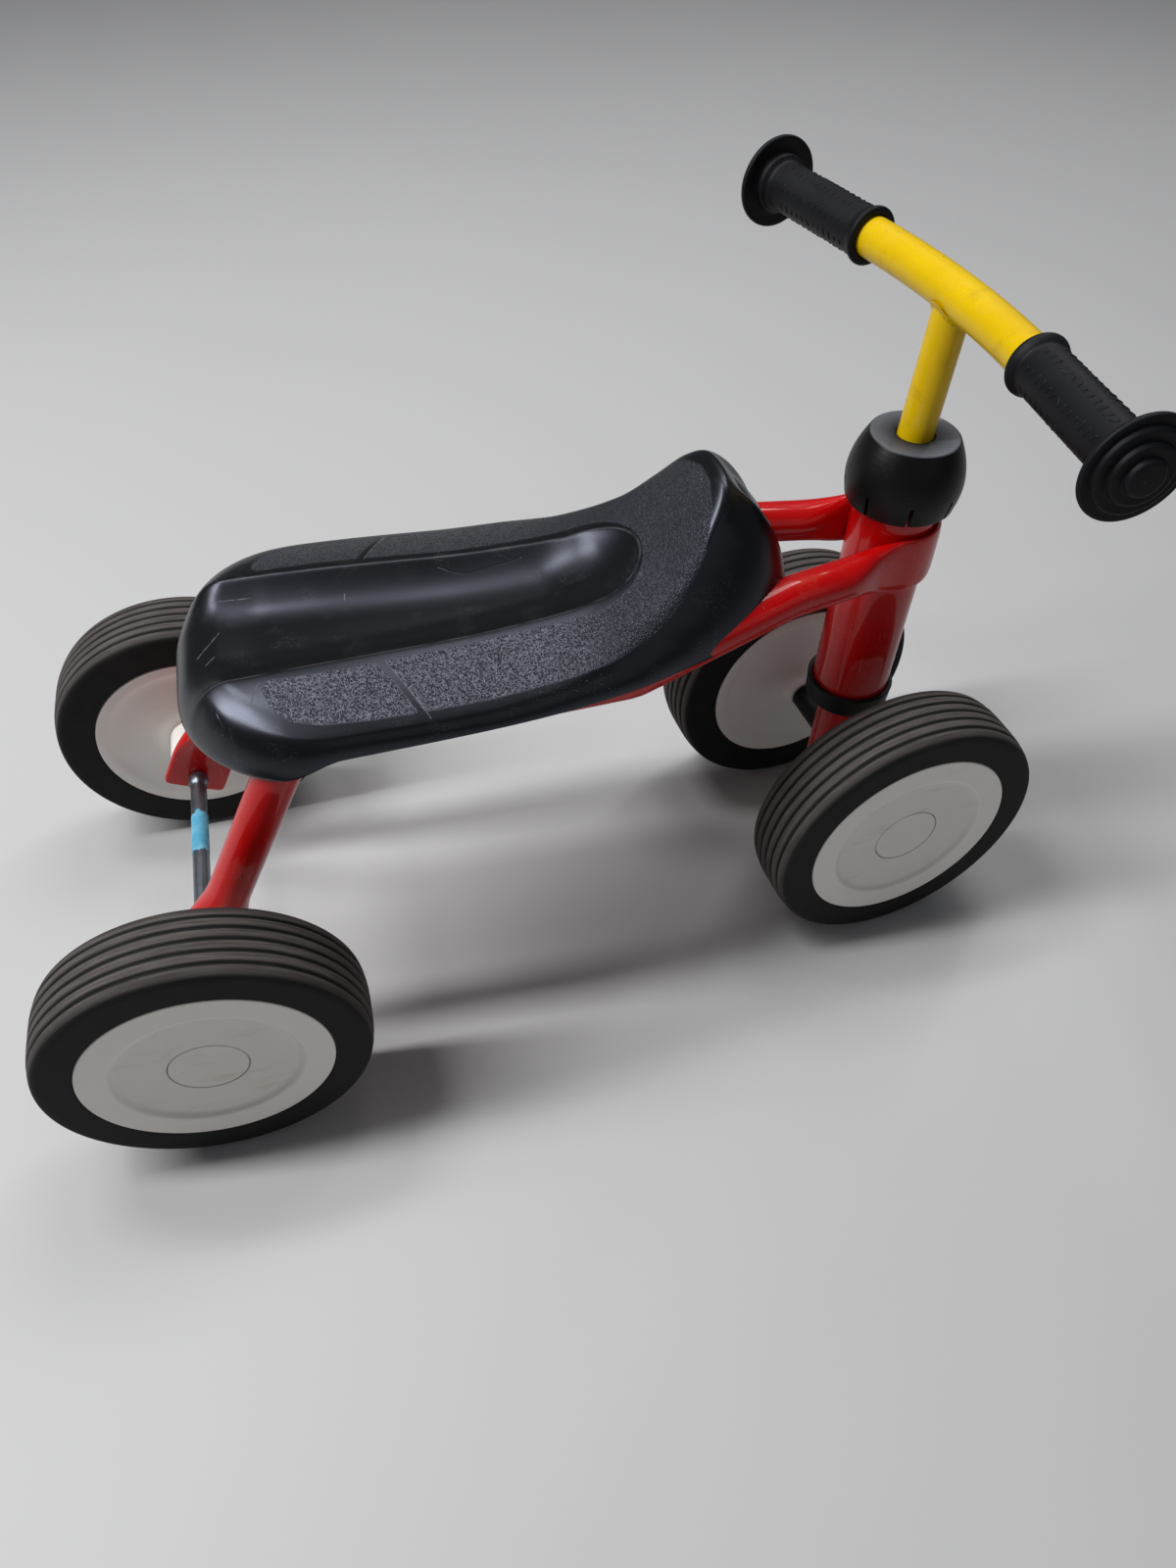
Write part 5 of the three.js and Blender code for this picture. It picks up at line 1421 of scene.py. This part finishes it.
# %% Height of the top at any place
def rail_line(x):
    """The line of the rails between their two bends, which the whole saddle follows."""
    return np.interp(x, (LEG_TOP[0], RAIL_MIDDLE[0]), (LEG_TOP[2], RAIL_MIDDLE[2]))


def skirt_height(x):
    return rail_line(x) + SKIRT_OVER_RAILS - skirt_drop(x)


def rear_fall(x, y):
    """The fall of the top near the round rear end, strongest in the middle plane."""
    back = np.maximum(0, SADDLE_REAR + SADDLE_REAR_RADIUS - x)
    aside = np.maximum(0, np.abs(y) - SADDLE_HALF_WIDTH + SADDLE_REAR_RADIUS)
    reach = np.hypot(back, aside)
    outward = np.maximum(0, 1 - (SADDLE_REAR_RADIUS - reach) / REAR_ROLL_WIDTH)
    return REAR_ROLL * outward ** 2 * (back / np.maximum(reach, 0.001)) ** 3


def distance_to(border, x, y):
    """Signed distance in millimetres, above zero inside the border."""
    best, inside = np.full(len(x), 1e9), np.zeros(len(x), bool)
    for (ax, ay), (bx, by) in zip(border, np.roll(border, -1, axis=0)):
        t = np.clip(((x - ax) * (bx - ax) + (y - ay) * (by - ay)) / ((bx - ax) ** 2 + (by - ay) ** 2), 0, 1)
        best = np.minimum(best, np.hypot(x - ax - t * (bx - ax), y - ay - t * (by - ay)))
        crosses = ((ay > y) != (by > y)) & (x < (bx - ax) * (y - ay) / (by - ay + 1e-12) + ax)
        inside ^= crosses
    return np.where(inside, best, -best)


def crest_fall(x, y):
    """The fall of the top just inside its edge, which rounds the crest of the hump."""
    inside = distance_to(TOP_BORDER, x, np.abs(y))
    return CREST_ROLL * smooth(x, 190, 250) * np.maximum(0, 1 - inside / CREST_ROLL_WIDTH) ** 2


def trough_distance(x, y):
    """Distance from the trough's edge, above zero inside the trough."""
    side = trough_spread(x) - np.abs(y)
    return np.where(x < TROUGH_TURN, side, TROUGH_END_RADIUS - np.hypot(x - TROUGH_TURN, y))


def top_height(x, y, margin=0):
    """The margin makes the trough wider and lower, for the shell's inner face."""
    distance = trough_distance(x, y) + margin
    distance = (distance + np.hypot(distance, EDGE_SOFTNESS)) / 2
    trough = 1 - (1 - np.clip(distance / TROUGH_BANK, 0, 1)) ** 2
    level = rail_line(x) + SEAT_OVER_RAILS - side_fall(x) * np.abs(y) ** 2.2 - margin
    level = level - crest_fall(x, y)
    roll = rear_fall(x, y)
    ridge, floor_level = crown_offset(x) - roll, floor_offset(x) - TROUGH_DEPTH - 0.3 * roll
    return level + ridge + (floor_level - ridge) * trough


crest, seat = top_height(np.array((SADDLE_FRONT, SADDLE_REAR + 60)), np.array((0, 45)))
print("the hump stands", round(crest - seat), "mm high")


# %% The saddle's skin
def both_sides(x, y, z):
    left = np.stack((x, y, z), 1)
    return np.concatenate((left, left[-2:0:-1] * (1, -1, 1)))


def spine_way(top):
    """From the top edge to the spine in the middle plane."""
    return np.array([np.clip(top[0], on_saddle(0.12), TROUGH_FRONT - 6) - top[0], -top[1]])


def edge_shares(top):
    """How far along the way to the spine the trough's edge lies."""
    way, shares = spine_way(top), np.linspace(0, 1, 500)
    x, y = (top[axis][:, None] + way[axis][:, None] * shares for axis in (0, 1))
    first = np.argmax(trough_distance(x, y) > 0, axis=1)
    return np.clip(shares[first], 0.1, 0.9)


def skin_rings(margin, wall_angles, steps):
    """Rings from the skirt's lower edge up the wall and over the top to the spine. Each wall ring is drawn
    down so that the wall leaves the top edge with the slope that the top has there, and round the hump the
    wall is flatter and its crest crisper."""
    top, skirt = half_outline(TOP_EDGE, margin), half_outline(SKIRT_EDGE, margin)
    skirt[1] += LUG_BULGE * np.exp(-((skirt[0] - LUG_MIDDLE) / 18) ** 2) * smooth(skirt[1], 20, 60)
    across = skirt - top
    gap = np.hypot(*across)
    low, high = skirt_height(skirt[0]), top_height(*top, margin)
    fall = np.maximum(0, high - top_height(*(top + across / gap), margin))
    crispness = 1 + 0.3 * smooth(top[0], 200, 268)
    rings = []
    for angle in wall_angles:
        out, up = math.sin(angle) ** crispness, math.cos(angle)
        rings.append(both_sides(*(top + across * out), low + (high - low) * up - fall * gap * out * up))
    way, edge = spine_way(top), edge_shares(top)
    outer = [edge * (1 - (1 - k / steps) ** 1.6) for k in range(1, steps + 1)]
    inner = [edge + (1 - edge) * (k / steps) ** 1.6 for k in range(1, steps + 1)]
    for share in outer + inner:
        x, y = top + way * share
        rings.append(both_sides(x, y, top_height(x, y, margin)))
    return rings


def quarter_turn(steps):
    return np.radians(np.linspace(90, 0, steps))


print("skin ready")

# %% The shell
outer_rings = skin_rings(0, quarter_turn(19), 30)
inner_rings = skin_rings(SADDLE_WALL, quarter_turn(7), 8)
lip = []
for share, drop in ((0.12, 0.45), (0.5, 0.7), (0.88, 0.45)):
    lip.append(outer_rings[0] * (1 - share) + inner_rings[0] * share - (0, 0, drop))
shell_rings = inner_rings[::-1] + lip[::-1] + outer_rings
saddle = piece("moulded_saddle", *lofted_mesh(shell_rings, False, False), SADDLE, VEHICLE, 60)
print("saddle shell has", len(saddle.data.vertices), "corners")

# %% The border of the grained panels
PANEL = np.array([
    (65, 41), (63, 45), (63.6, 50), (66.5, 57), (73, 63), (85, 66.8), (106, 68.2), (131, 67.8), (161, 66.4),
    (180, 65), (200, 63.3), (220, 60.3), (241, 54), (258.5, 46), (270, 37), (277, 22), (280.5, 7), (281, -40),
    (249.5, -40), (249.5, 3), (248, 11), (244.5, 19), (239, 26), (231, 31), (224, 33), (203, 34), (178, 35),
    (149, 37.2), (113, 40), (93, 41),
])
STRIP = np.array([(113.6, 38), (117.4, 38), (132.8, 72), (130, 72)])
corners = corners_of(saddle)
plan_x, plan_y, plan_z = corners[:, 0], np.abs(corners[:, 1]), corners[:, 2]
outside = plan_z > top_height(plan_x, plan_y) - 1.2
panel = np.minimum(distance_to(PANEL, plan_x, plan_y), -distance_to(STRIP, plan_x, plan_y))
store(saddle, "panel_distance", np.clip(np.where(outside, panel, -5), -5, 5))
store(saddle, "top_side", outside)
store(saddle, "trough_distance", np.clip(np.where(outside, trough_distance(plan_x, plan_y), -20), -20, 20))
belongs(saddle, "frame", "saddle_shell")

# %% [markdown]
# ## Under the saddle
# The shell alone would bend under a child. Three ribs stand across it, and each screw goes up into a boss.
# Both end inside the shell's wall, as they would in one moulding.

# %% Ribs and bosses
RIB_SHARES = (0.2, 0.52, 0.9)
REAR_STRAP = LEG_TOP[0] + 44
FRONT_STRAP = NOSE_CENTRE - 163.5

core_rings = skin_rings(SADDLE_WALL / 2, quarter_turn(7), 8)
core_mesh = lofted_mesh([core_rings[0] - (0, 0, 40), *core_rings], True, False)
for number, share in enumerate(RIB_SHARES, 1):
    x = on_saddle(share)
    low = float(rail_line(x)) + TUBE_RADIUS
    corners = (-80, low), (80, low), (80, low + 90), (-80, low + 90)
    rings = [[(x + side, y, z) for y, z in corners] for side in (-1, 1)]
    rib = piece(f"saddle_rib_{number}", *lofted_mesh(rings), SADDLE, VEHICLE, 30)
    carve(rib, "INTERSECT", piece("core", *core_mesh, SADDLE, VEHICLE, 30))
    soften(rib, 30)
    belongs(rib, "frame")


def boss_rings(x, y):
    """From the blind hole's end, down and round the foot of the boss, and up into the shell's wall."""
    low = float(rail_line(x)) + 1.8
    turn = np.linspace(0, 2 * math.pi, 33)[:-1]
    rings = []
    for radius, level in ((1.9, low + 8), (1.9, low), (5.6, low), (6, low + 0.4), (6, None)):
        xs, ys = x + radius * np.cos(turn), y + radius * np.sin(turn)
        zs = top_height(xs, ys, SADDLE_WALL / 2) if level is None else np.full(len(turn), level)
        rings.append(np.stack((xs, ys, zs), 1))
    return rings


for x, row in ((REAR_STRAP, "rear"), (FRONT_STRAP, "front")):
    for y, side in ((20, "left"), (-20, "right")):
        boss = piece(f"{row}_{side}_screw_boss", *lofted_mesh(boss_rings(x, y)), SADDLE, VEHICLE, 50)
        belongs(boss, "frame")
print("ribs and bosses done")

# %% [markdown]
# ## Straps, screws and finish
# Two flat straps join the rails under the seat, and four screws hold the shell to them. Their packed
# shapes are right as they are, so they only get finishes.

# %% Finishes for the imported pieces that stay
STRAPS = ("rear_seat_strap", "front_seat_strap")
SCREWS = ("saddle_screw_1", "saddle_screw_2", "saddle_screw_3", "saddle_screw_4", "clamp_bolt")
for finish, names in ((RED, STRAPS), (ZINC, SCREWS)):
    for name in names:
        materials = frame["nodes"][name].data.materials
        materials.clear()
        materials.append(finish)
print("packed pieces dressed")
